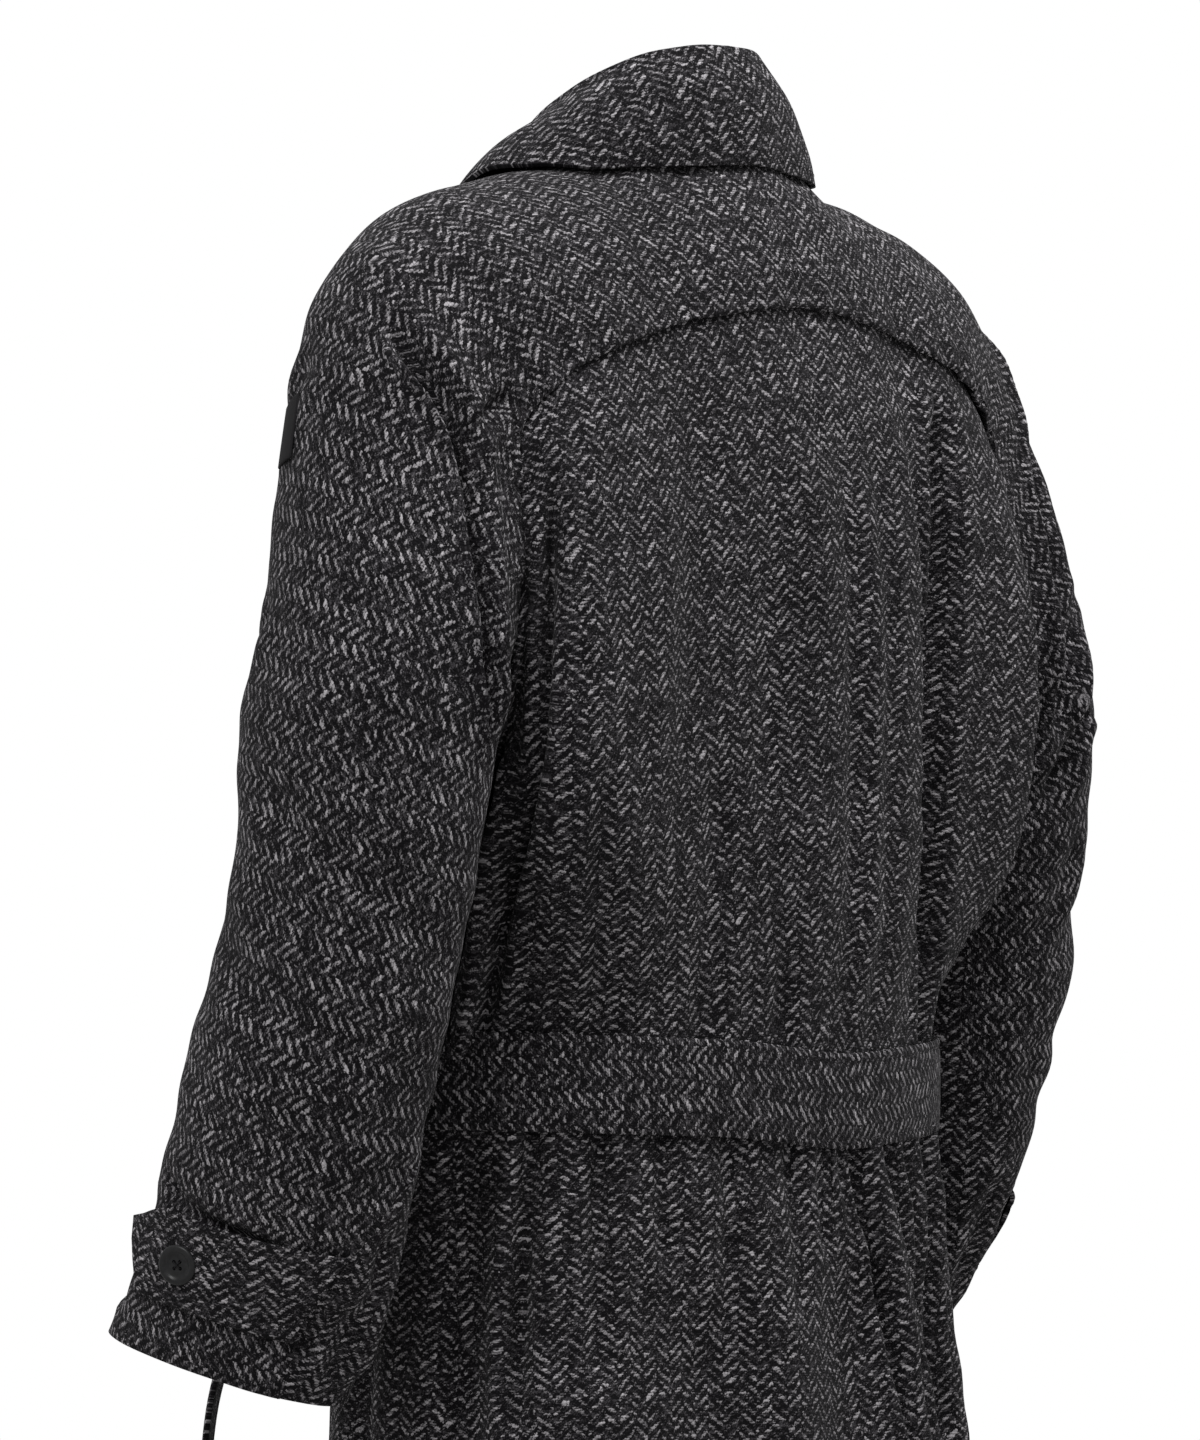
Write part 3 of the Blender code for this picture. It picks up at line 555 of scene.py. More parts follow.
def makeTweed():
    # woollen tweed, 2/2 herringbone: light slubby weft floats over two near-black warp ends,
    # stepping one end a pick, so that they make slanting strokes; matt, with a little fuzz
    made, tree, shader = newMaterial("herringboneTweed")
    grain = addNode(tree, "ShaderNodeUVMap", uv_map="grain")
    inMm = addNode(tree, "ShaderNodeVectorMath", {0: grain, "Scale": 1000.0}, operation="SCALE")
    place = inMm
    # the yarns wander: slowly over a few columns, and by a fraction of a pick from end to end
    for scale, reach in tweed["wander"]:
        noise = addNode(tree, "ShaderNodeTexNoise", {"Vector": inMm, "Scale": scale, "Detail": 1.0})
        away = {0: noise.outputs["Color"], 1: (0.5, 0.5, 0.5)}
        away = addNode(tree, "ShaderNodeVectorMath", away, operation="SUBTRACT")
        away = addNode(tree, "ShaderNodeVectorMath", {0: away, "Scale": reach}, operation="SCALE")
        place = addNode(tree, "ShaderNodeVectorMath", {0: place, 1: away}, operation="ADD")
    split = addNode(tree, "ShaderNodeSeparateXYZ", {0: place})
    values = {"x": split.outputs[0], "y": split.outputs[1]}
    # each row is a value's name, the operation, and the values and numbers that it works on
    weave = (
        ("columns", "DIVIDE", "x", tweed["column"]),
        ("column", "FLOOR", "columns"),
        ("turned", "FLOORED_MODULO", "column", 2.0),
        ("sign", "MULTIPLY_ADD", "turned", -2.0, 1.0),
        # counted from the column's middle, so that the strokes of two columns never meet
        ("inColumn", "FRACT", "columns"),
        ("fromMiddle", "SUBTRACT", "inColumn", 0.5),
        ("ends", "MULTIPLY", "fromMiddle", tweed["column"] / tweed["end"]),
        ("picks", "DIVIDE", "y", tweed["pick"]),
        ("pick", "FLOOR", "picks"),
        # the floats of one twill line bed together into a stroke, stepped a little at each pick
        ("climb", "MULTIPLY_ADD", "picks", 0.6, 0.2),
        ("climb", "MULTIPLY_ADD", "pick", 0.4, "climb"),
        ("slant", "MULTIPLY_ADD", "turned", 2.0, "climb"),
        ("slant", "MULTIPLY_ADD", "ends", "sign", "slant"),
        ("lines", "DIVIDE", "slant", 4.0),
        ("line", "FLOOR", "lines"),
        ("stroke", "FLOORED_MODULO", "slant", 4.0),
        ("stroke", "MULTIPLY_ADD", "stroke", math.pi / 2, -math.pi / 2),
        ("stroke", "COSINE", "stroke"),
        ("stroke", "MULTIPLY_ADD", "stroke", 0.5, 0.5),
        # each pick's round crown shapes the bump, and is also painted shade: the float's colour
        # darkens towards the pick's edges, where the yarn curves down
        ("crownAndShade", "FRACT", "picks"),
        ("crownAndShade", "MULTIPLY", "crownAndShade", math.pi),
        ("crownAndShade", "SINE", "crownAndShade"),
        ("crownAndShade", "MULTIPLY_ADD", "crownAndShade", 0.55, 0.45),
        # the floats sink where the columns turn: this lowers the bump, and also darkens their
        # colour there as painted shade
        ("fromRight", "SUBTRACT", 1.0, "inColumn"),
        ("sunk", "MINIMUM", "inColumn", "fromRight"),
        ("sunk", "MULTIPLY", "sunk", 11.0),
        ("sunk", "MINIMUM", "sunk", 1.0),
        ("sunk", "MULTIPLY_ADD", "sunk", 0.4, 0.6),
        ("weft", "MULTIPLY", "stroke", "crownAndShade"),
        ("weft", "MULTIPLY", "weft", "sunk"),
        ("warp", "FRACT", "ends"),
        ("warp", "MULTIPLY", "warp", math.pi),
        ("warp", "SINE", "warp"),
        ("warp", "MAXIMUM", "warp", 0.0),
        ("warp", "POWER", "warp", 0.6),
        ("warp", "MULTIPLY", "warp", 0.5),
        ("withTwist", "ADD", "x", "y"),
        ("overTwist", "SUBTRACT", "y", "x"),
    )
    for name, operation, *terms in weave:
        terms = {k: values.get(term, term) for k, term in enumerate(terms)}
        values[name] = addNode(tree, "ShaderNodeMath", terms, operation=operation)
    # fibre is drawn out along its stroke, its pick or the yarn's twist
    for name, parts, stretch in (
        ("alongStroke", ("line", "picks", "column"), (3.7, 0.42, 9.3)),
        ("alongPick", ("x", "pick", 0.0), (0.13, 3.7, 0.0)),
        ("alongTwist", ("withTwist", "overTwist", 0.0), (0.16, 0.6, 0.0)),
        ("oneFloat", ("line", "pick", "column"), (1.0, 1.0, 1.0)),
    ):
        joined = {k: values.get(part, part) for k, part in enumerate(parts)}
        joined = {0: addNode(tree, "ShaderNodeCombineXYZ", joined), 1: stretch}
        values[name] = addNode(tree, "ShaderNodeVectorMath", joined, operation="MULTIPLY")
    for name, vector, scale, detail in (
        ("length", values["alongStroke"], 1.0, 1.0),  # paler and darker fibre along a stroke
        ("slub", values["alongPick"], 1.0, 1.0),  # the yarn swells for a centimetre or two
        ("hair", values["alongTwist"], 1.0, 4.0),  # hairs of the melange yarn
        ("clump", inMm, 0.17, 2.0),  # a few millimetres of paler or darker fibre at a time
        ("fuzz", inMm, 1.1, 3.0),
    ):
        noise = {"Vector": vector, "Scale": scale, "Detail": detail}
        noise = addNode(tree, "ShaderNodeTexNoise", noise)
        values[name] = addNode(tree, "ShaderNodeMath", {0: noise, 1: 0.5}, operation="SUBTRACT")
    chance = {"Vector": values["oneFloat"]}
    chance = addNode(tree, "ShaderNodeTexWhiteNoise", chance, noise_dimensions="3D")
    values["chance"] = chance.outputs["Value"]
    fibre = (
        ("hairs", "ADD", "hair", "fuzz"),
        ("bright", "POWER", "chance", 2.2),
        ("bright", "MULTIPLY_ADD", "bright", 0.54, 0.08),
        ("bright", "MULTIPLY_ADD", "length", 1.1, "bright"),
        ("bright", "MULTIPLY_ADD", "slub", 0.5, "bright"),
        ("bright", "MULTIPLY_ADD", "clump", 0.7, "bright"),
        ("bright", "MULTIPLY_ADD", "hairs", 1.35, "bright"),
        # painted sheen: strokes that climb with the twist of the yarn catch more light, so their
        # columns are painted brighter
        ("bright", "MULTIPLY_ADD", "turned", 0.10, "bright"),
        ("fleck", "ADD", "hairs", "slub"),
        ("fleck", "MULTIPLY", "fleck", 2.2),
        # fuzz frays the edge of each dash, and some floats sink under their neighbours
        ("edge", "MULTIPLY_ADD", "hairs", 1.15, "weft"),
        ("edge", "MULTIPLY_ADD", "length", 0.7, "edge"),
        ("under", "SUBTRACT", "chance", 0.5),
        ("edge", "MULTIPLY_ADD", "under", 0.4, "edge"),
        ("height", "MAXIMUM", "weft", "warp"),
        ("height", "MULTIPLY_ADD", "hair", 0.6, "height"),
    )
    for name, operation, *terms in fibre:
        terms = {k: values.get(term, term) for k, term in enumerate(terms)}
        values[name] = addNode(tree, "ShaderNodeMath", terms, operation=operation)
    # the cover picks dark warp or light weft colour; through the weft it also carries the painted
    # shade of the picks' crowns and the sunk floats
    cover = {"Value": values["edge"], "From Min": 0.46, "From Max": 0.96}
    cover = addNode(tree, "ShaderNodeMapRange", cover, interpolation_type="SMOOTHSTEP")
    colors = []
    for share, low, high in (("fleck", "dark", "darkFleck"), ("bright", "lightDeep", "light")):
        inks = {"Factor": values[share], 6: toLinear(tweed[low]), 7: toLinear(tweed[high])}
        colors.append(addNode(tree, "ShaderNodeMix", inks, data_type="RGBA").outputs[2])
    cloth = {"Factor": cover, 6: colors[0], 7: colors[1]}
    cloth = addNode(tree, "ShaderNodeMix", cloth, data_type="RGBA").outputs[2]
    broad = addNode(tree, "ShaderNodeTexNoise", {"Vector": inMm, "Scale": 0.012, "Detail": 2.0})
    tone = {"Value": broad, "From Min": 0.3, "From Max": 0.7, "To Min": 0.86, "To Max": 1.14}
    tone = {0: cloth, "Scale": addNode(tree, "ShaderNodeMapRange", tone)}
    relief = {"Strength": 0.8, "Distance": tweed["bump"], "Height": values["height"]}
    surface = {
        "Base Color": addNode(tree, "ShaderNodeVectorMath", tone, operation="SCALE"),
        "Normal": addNode(tree, "ShaderNodeBump", relief),
        "Roughness": 0.95,
        "Specular IOR Level": 0.06,
        "Sheen Weight": 0.025,
        "Sheen Roughness": 0.5,
    }
    setInputs(shader, surface)
    return made


def patterned(shader, pattern, colors, bump=None):
    # the colour goes from the first to the second with the pattern; bump is a strength and metres
    tree = shader.id_data
    inks = {"Factor": pattern, 6: toLinear(colors[0]), 7: toLinear(colors[1])}
    color = addNode(tree, "ShaderNodeMix", inks, data_type="RGBA")
    setInputs(shader, {"Base Color": color.outputs[2]})
    if bump:
        relief = {"Strength": bump[0], "Distance": bump[1], "Height": pattern}
        setInputs(shader, {"Normal": addNode(tree, "ShaderNodeBump", relief)})


def makeLining():
    # black viscose twill lining, woven fine and calendered, so it has a soft sheen
    made, tree, shader = newMaterial("viscoseLining")
    grain = addNode(tree, "ShaderNodeUVMap", uv_map="grain")
    # its lines are drawn 1 mm apart, coarser than they are, so that they show
    twill = {"Vector": grain, "Scale": 320.0, "Distortion": 0.4}
    twill = addNode(tree, "ShaderNodeTexWave", twill, bands_direction="DIAGONAL")
    patterned(shader, twill.outputs["Fac"], ("#141316", "#1d1c20"), (0.3, 0.0002))
    setInputs(shader, {"Roughness": 0.45})
    return made


def makeHorn():
    # dark horn-effect polyester, turned then tumbled: satin, with faint clouds 6 mm across
    made, tree, shader = newMaterial("hornPolyester")
    place = addNode(tree, "ShaderNodeTexCoord").outputs["Object"]
    cloud = {"Vector": place, "Scale": 160.0, "Detail": 4.0, "Distortion": 1.2}
    cloud = addNode(tree, "ShaderNodeTexNoise", cloud)
    patterned(shader, cloud, ("#0b0b0c", "#262627"))
    satin = addNode(tree, "ShaderNodeMapRange", {"Value": cloud, "To Min": 0.28, "To Max": 0.42})
    setInputs(shader, {"Roughness": satin, "Specular IOR Level": 0.2})
    return made


def makeLeather():
    # black calf leather wrapped round the buckle's frame: pebble grain of 0.7 mm, semi-matt
    made, tree, shader = newMaterial("calfLeather")
    place = addNode(tree, "ShaderNodeTexCoord").outputs["Object"]
    pebble = addNode(tree, "ShaderNodeTexVoronoi", {"Vector": place, "Scale": 1400.0})
    patterned(shader, pebble.outputs["Distance"], ("#1a191a", "#2a282a"), (0.4, 0.0002))
    setInputs(shader, {"Roughness": 0.5})
    return made


def makeThread(name, color):
    # spun polyester thread, matt and slightly hairy, its twist 0.4 mm long
    made, tree, shader = newMaterial(name)
    place = addNode(tree, "ShaderNodeTexCoord").outputs["Object"]
    twist = addNode(tree, "ShaderNodeTexNoise", {"Vector": place, "Scale": 2500.0, "Detail": 1.0})
    relief = {"Strength": 0.5, "Distance": 0.0001, "Height": twist}
    surface = {
        "Base Color": toLinear(color),
        "Normal": addNode(tree, "ShaderNodeBump", relief),
        "Roughness": 0.8,
        "Specular IOR Level": 0.15,
    }
    setInputs(shader, surface)
    return made


tweedCloth, lining, horn, leather = makeTweed(), makeLining(), makeHorn(), makeLeather()
blackThread = makeThread("blackThread", "#161517")
print("materials made")


# Turning a grid of points into a piece of cloth.
def plainMesh(obj):
    graph = bpy.context.evaluated_depsgraph_get()
    mesh = bpy.data.meshes.new_from_object(obj.evaluated_get(graph))
    obj.modifiers.clear()
    obj.data = mesh
    return obj


facing = {"seam": 0.014, "hem": 0.038}
edgeFold = {"width": 0.0008, "steps": 2, "angle": 62}


def clothPiece(name, points, flat, side=1, wall=coat["wall"], closed=False, inner=None, fold=None):
    grid = points * np.array((side, 1, 1))
    n, m = grid.shape[:2]
    if closed:
        grid = grid[:, :-1]
    width = grid.shape[1]
    i, j = np.meshgrid(np.arange(n - 1), np.arange(m - 1), indexing="ij")
    k = (j + 1) % width if closed else j + 1
    quads = np.stack([i * width + j, (i + 1) * width + j, (i + 1) * width + k, i * width + k], -1)
    corners = np.stack([i * m + j, (i + 1) * m + j, (i + 1) * m + j + 1, i * m + j + 1], -1)
    if side < 0:
        quads, corners = quads[..., ::-1], corners[..., ::-1]
    mesh = bpy.data.meshes.new(name)
    mesh.from_pydata(grid.reshape(-1, 3).tolist(), [], quads.reshape(-1, 4).tolist())
    layer = mesh.uv_layers.new(name="grain")
    weave = flat.reshape(-1, 2) * np.array((side, 1))  # cloth isn't mirrored when a piece is
    layer.data.foreach_set("uv", weave[corners.reshape(-1)].ravel().astype(np.float32))
    obj = bpy.data.objects.new(name, mesh)
    scene.collection.objects.link(obj)
    mesh.materials.append(tweedCloth)
    mesh.materials.append(inner or tweedCloth)
    # at its hem and seams the cloth is turned in, so the lining starts inside them
    down, along = cumulative(points, 0)[:-1], cumulative(points, 1)[:-1]
    atSide = np.minimum(along, along[-1] - along) < facing["seam"]
    turnedIn = (down > down[-1] - facing["hem"])[:, None] | atSide[None, :]
    marked = mesh.attributes.new("turnedIn", "INT", "FACE")
    marked.data.foreach_set("value", turnedIn.ravel().astype(np.int32))
    wallMaker = obj.modifiers.new("wall", "SOLIDIFY")
    wallMaker.thickness = wall
    wallMaker.offset = -1
    wallMaker.material_offset = 1
    wallMaker.material_offset_rim = 0
    bevel = obj.modifiers.new("turnedEdge", "BEVEL")
    bevel.width = fold or edgeFold["width"]
    bevel.segments = edgeFold["steps"]
    bevel.limit_method = "ANGLE"
    bevel.angle_limit = math.radians(edgeFold["angle"])
    plainMesh(obj)
    faces = len(obj.data.polygons)
    cloth, inside = np.zeros(faces, np.int32), np.zeros(faces, np.int32)
    obj.data.attributes["turnedIn"].data.foreach_get("value", cloth)
    obj.data.polygons.foreach_get("material_index", inside)
    obj.data.polygons.foreach_set("material_index", np.where(cloth > 0, 0, inside))
    obj.data.attributes.remove(obj.data.attributes["turnedIn"])
    obj.data.shade_smooth()
    return obj


def attach(obj, node=None, material=None):
    if material:
        obj.data.materials.clear()
        obj.data.materials.append(material)
    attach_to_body(obj, "root")
    if node:
        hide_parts(node)


def sewn(obj, node, flat, area):
    attach(obj, node)
    width, length = (round(float(span), 3) for span in np.ptp(flat.reshape(-1, 2), axis=0))
    area = min(max(area, 0.31 * width * length), width * length)
    print(f"{node}: cut {width * 1000:.0f} x {length * 1000:.0f} mm, {area:.3f} m2")


# Stitching: a line of short sunk stitches along a path, made by Geometry Nodes.
stitch = {"Pitch": 0.0042, "Length": 0.0026, "Thickness": 0.0006, "sunk": 0.0001}


def makeStitchTree():
    tree = bpy.data.node_groups.new("edgeStitching", "GeometryNodeTree")
    face = tree.interface
    face.new_socket("Geometry", in_out="INPUT", socket_type="NodeSocketGeometry")
    for name in ("Pitch", "Length", "Thickness"):
        socket = face.new_socket(name, in_out="INPUT", socket_type="NodeSocketFloat")
        socket.default_value = stitch[name]
    face.new_socket("Material", in_out="INPUT", socket_type="NodeSocketMaterial")
    face.new_socket("Geometry", in_out="OUTPUT", socket_type="NodeSocketGeometry")
    given = addNode(tree, "NodeGroupInput").outputs
    path = {"Curve": given["Geometry"], "Length": given["Pitch"]}
    path = addNode(tree, "GeometryNodeResampleCurve", path, mode="LENGTH")
    tangent = addNode(tree, "GeometryNodeInputTangent")
    turned = addNode(tree, "FunctionNodeAlignRotationToVector", {"Vector": tangent}, axis="Z")
    bead = addNode(tree, "GeometryNodeMeshUVSphere", {"Segments": 6, "Rings": 4, "Radius": 0.5})
    size = {0: given["Thickness"], 1: given["Thickness"], 2: given["Length"]}
    size = addNode(tree, "ShaderNodeCombineXYZ", size)
    placed = {"Points": path, "Instance": bead.outputs["Mesh"], "Rotation": turned, "Scale": size}
    placed = addNode(tree, "GeometryNodeInstanceOnPoints", placed)
    real = addNode(tree, "GeometryNodeRealizeInstances", {0: placed})
    painted = {"Geometry": real, "Material": given["Material"]}
    painted = addNode(tree, "GeometryNodeSetMaterial", painted)
    addNode(tree, "NodeGroupOutput", {"Geometry": painted})
    return tree


stitchTree = makeStitchTree()


def fromCurve(name, lines, closed=False, tree=None, **shape):
    # a mesh from lines of points: a tube round them, or what the node tree lays along them
    curve = bpy.data.curves.new(name, "CURVE")
    curve.dimensions = "3D"
    for key, value in shape.items():
        setattr(curve, key, value)
    for line in lines:
        spline = curve.splines.new("POLY")
        spline.points.add(len(line) - 1)
        spline.points.foreach_set("co", np.c_[line, np.ones(len(line))].ravel())
        spline.use_cyclic_u = closed
    source = bpy.data.objects.new(name, curve)
    scene.collection.objects.link(source)
    if tree:
        modifier = source.modifiers.new("stitches", "NODES")
        modifier.node_group = tree
        for item in tree.interface.items_tree:
            if item.name == "Material" and item.in_out == "INPUT":
                modifier[item.identifier] = blackThread
    graph = bpy.context.evaluated_depsgraph_get()
    mesh = bpy.data.meshes.new_from_object(source.evaluated_get(graph))
    bpy.data.objects.remove(source)
    made = bpy.data.objects.new(name, mesh)
    scene.collection.objects.link(made)
    mesh.shade_smooth()
    return made


def stitchLine(name, lines, side=1, closed=False):
    lines = [np.asarray(line) * np.array((side, 1, 1)) for line in lines]
    attach(fromCurve(name, lines, closed, stitchTree))


# Creases of the body: each path of (angle, drop) places, then depth, left and right in mm, and lip.
bodyCreases = {
    "left": [
        (
            [(28.5, 0.145), (28, 0.18), (27.5, 0.22), (26.6, 0.28), (26, 0.33), (25, 0.37),
             (22, 0.41), (18, 0.45), (16, 0.48), (14, 0.51), (12.5, 0.55)],
            -10.5, 4, 4.6, 0.3,
        ),
        (
            [(19, 0.35), (16, 0.385), (13.5, 0.42), (11, 0.45), (8.5, 0.48), (7, 0.51), (6, 0.56)],
            -19, 9, 5, 0.1,
        ),
        (
            [(22.5, 0.34), (20, 0.39), (16.5, 0.43), (14, 0.465), (11.5, 0.51), (10, 0.55)],
            11, 7, 6, 0.0,
        ),
        ([(33, 0.13), (32.5, 0.22), (31, 0.32)], 3.2, 10, 12, 0.0),
        ([(34, 0.36), (33, 0.44), (33.5, 0.56)], -4.2, 9, 11, 0.25),
        ([(43, 0.18), (42, 0.32), (42, 0.50)], 2.8, 16, 18, 0.0),
        ([(54, 0.36), (53, 0.45), (50, 0.56)], -3.6, 10, 11, 0.25),
        ([(70, 0.16), (69, 0.27), (66, 0.42)], -3, 11, 14, 0.2),
        ([(74, 0.47), (73, 0.56)], -3.2, 8, 8, 0.3),
        ([(84, 0.17), (84, 0.33), (83, 0.52)], 1.6, 14, 14, 0.0),
        ([(21.5, 0.55), (20.5, 0.61), (19.5, 0.67), (19, 0.76)], -12, 6, 8, 0.35),
        ([(32, 0.55), (31.5, 0.62), (32, 0.72)], -6.5, 6, 7, 0.35),
        ([(42, 0.55), (43, 0.60), (44, 0.66)], -4.8, 7, 8, 0.35),
        ([(57, 0.55), (58, 0.62), (58, 0.71)], -5.6, 8, 9, 0.35),
        ([(77, 0.55), (76, 0.61), (75, 0.70)], -4.8, 8, 9, 0.35),
        ([(86, 0.55), (86, 0.60), (86, 0.66)], -4, 6, 7, 0.35),
        ([(12, 0.55), (11, 0.72), (11, 0.96)], -11, 12, 14, 0.25),
        ([(-22, 0.18), (-24, 0.30), (-28, 0.42)], -10, 9, 11, 0.25),
        ([(-12, 0.28), (-15, 0.38), (-20, 0.52)], -6, 9, 10, 0.25),
        ([(-40, 0.38), (-42, 0.46), (-44, 0.56)], -5, 9, 9, 0.3),
        ([(-62, 0.40), (-60, 0.47), (-58, 0.56)], -4, 9, 10, 0.3),
        ([(-30, 0.55), (-31, 0.66), (-33, 0.78)], -8, 9, 11, 0.3),
        ([(-50, 0.55), (-50, 0.64), (-51, 0.71)], -5, 9, 10, 0.3),
        ([(-68, 0.55), (-67, 0.64), (-67, 0.74)], -5, 9, 10, 0.3),
        ([(-8, 0.56), (-9, 0.72), (-9, 0.95)], -9, 12, 13, 0.2),
    ],
    "right": [
        (
            [(136, 0.10), (136, 0.18), (135, 0.24), (132.5, 0.32), (132.5, 0.42), (134, 0.50),
             (137, 0.57)],
            -14, 6, 11, 0.2,
        ),
        ([(96, 0.14), (95, 0.30), (95, 0.55)], -3.4, 9, 11, 0.25),
        ([(109, 0.16), (107, 0.34), (107, 0.55)], -2.8, 8, 10, 0.25),
        ([(101.5, 0.18), (101, 0.34), (101, 0.52)], 1.8, 11, 11, 0.0),
        ([(120, 0.15), (121, 0.32), (122, 0.52)], 3.6, 9, 10, 0.0),
        ([(127, 0.16), (128, 0.30), (129, 0.44)], -3, 6, 7, 0.3),
        ([(150, 0.26), (152, 0.36), (156, 0.48)], -9, 9, 12, 0.3),
        ([(93, 0.56), (95, 0.60), (98, 0.65)], -5, 5, 6, 0.4),
        ([(98, 0.56), (101, 0.62), (104, 0.68), (108, 0.75), (111, 0.82)], -9.5, 5, 8, 0.5),
        ([(110, 0.55), (115, 0.63), (121, 0.73)], -7, 5, 9, 0.45),
        ([(119, 0.55), (123, 0.62), (128, 0.72)], -6, 5, 8, 0.45),
        ([(131, 0.56), (134, 0.61), (137, 0.68), (141, 0.80)], -9.5, 6, 9, 0.35),
        ([(143, 0.55), (146, 0.66), (148, 0.82)], -8, 8, 11, 0.3),
        ([(160, 0.56), (162, 0.72), (163, 0.96)], -10, 12, 14, 0.2),
        ([(168, 0.37), (169, 0.45), (170, 0.55)], -12, 10, 13, 0.1),
        ([(-157, 0.18), (-154, 0.30), (-151, 0.43)], -10, 11, 9, 0.25),
        ([(-167, 0.28), (-164, 0.38), (-160, 0.52)], -6, 9, 10, 0.25),
        ([(-138, 0.38), (-137, 0.46), (-137, 0.56)], -5, 9, 9, 0.3),
        ([(-119, 0.41), (-121, 0.47), (-123, 0.56)], -4, 9, 10, 0.3),
        ([(-149, 0.55), (-148, 0.66), (-146, 0.79)], -8, 9, 11, 0.3),
        ([(-130, 0.55), (-130, 0.64), (-129, 0.71)], -5, 9, 10, 0.3),
        ([(-112, 0.55), (-113, 0.64), (-113, 0.74)], -5, 9, 10, 0.3),
        ([(-171, 0.56), (-170, 0.72), (-170, 0.95)], -9, 12, 13, 0.2),
    ],
}


def bodyForCreases(angle, drop):
    # the folds' own troughs are left out, so that a path lies near the cloth
    return bodyPoint(np.where(angle < -90, angle + 360, angle), drop)


backDrops = steps((0, 0.30, 48), (0.30, 0.42, 20), (0.42, 0.62, 48), (0.62, 1.0, 52))


def nearSeam(stations, before=0):
    # how far a crease of the sleeve runs on past the seam into a body panel
    along = np.concatenate([np.full(before, stations[0]), stations])
    return ease((along - 2.5) / 1.0)[None, :] * (1 - ease(backDrops / 0.14))[:, None]


def makeBack(side, label):
    stations = steps((8.5, 8, 6), (8, 6, 22), (6, 3, 34), (3, 2, 14), (2, 1, 18), (1, 0, 42))
    points = panelPoint(backPanel, backSeam, stations[None, :], backDrops[:, None], side)
    points[0] += unit(points[1] - points[0]) * 0.001
    flat, area = flattened(points)
    flat = onGrain(flat, flat[0, -1], flat[-1, -1])
    points = creased(rippled(points, side), bodyCreases[label], bodyForCreases, side)
    points = creased(points, sleeveCreases[label], sleevePoint, 1, nearSeam(stations))
    flat = takenUp(flat, points)
    points[:, 0] += unit(points[:, 1] - points[:, 0]) * 0.0002
    points[:, -1, 0] = -0.0001  # the halves meet at the centre seam
    obj = clothPiece(f"back_{label}_tweed", points, flat, side, inner=lining, fold=0.0004)
    sewn(obj, f"back_{label}", flat, area)


def makeFront(side, label):
    stations = steps(
        (-1, 0, 14), (0, 1, 14), (1, 2, 13), (2, 4, 20), (4, 6, 18), (6, 8, 20), (8, 8.5, 3)
    )
    points = panelPoint(frontPanel, frontSeam, stations[None, :], backDrops[:, None], side)
    past = np.linspace(-0.021, 0, 6)[:-1]  # the front's edge lies past the centre front
    across = unit(points[:, 1] - points[:, 0])
    ahead = np.stack([points[:, 0] + across * x * np.array((1, -1, 1)) for x in past], 1)
    points = np.concatenate([ahead, points], 1)
    points[0] += unit(points[1] - points[0]) * 0.0005
    flat, area = flattened(points)
    flat = onGrain(flat, flat[0, 5], flat[-1, 5])
    over = coat["overlapLift"] if side > 0 else 0.0
    fade = 1 - ease((np.arange(points.shape[1]) - 7) / 8)
    points = points + outwardOf(points) * (over * fade)[None, :, None]
    points = creased(rippled(points, side), bodyCreases[label], bodyForCreases, side)
    points = creased(points, sleeveCreases[label], sleevePoint, 1, nearSeam(stations, 5))
    flat = takenUp(flat, points)
    points[:, -1] += unit(points[:, -2] - points[:, -1]) * 0.0002
    obj = clothPiece(f"front_{label}_tweed", points, flat, side, inner=lining)
    sewn(obj, f"front_{label}", flat, area)
    if side > 0:
        outerSkin.append((points.reshape(-1, 3), outwardOf(points).reshape(-1, 3)))


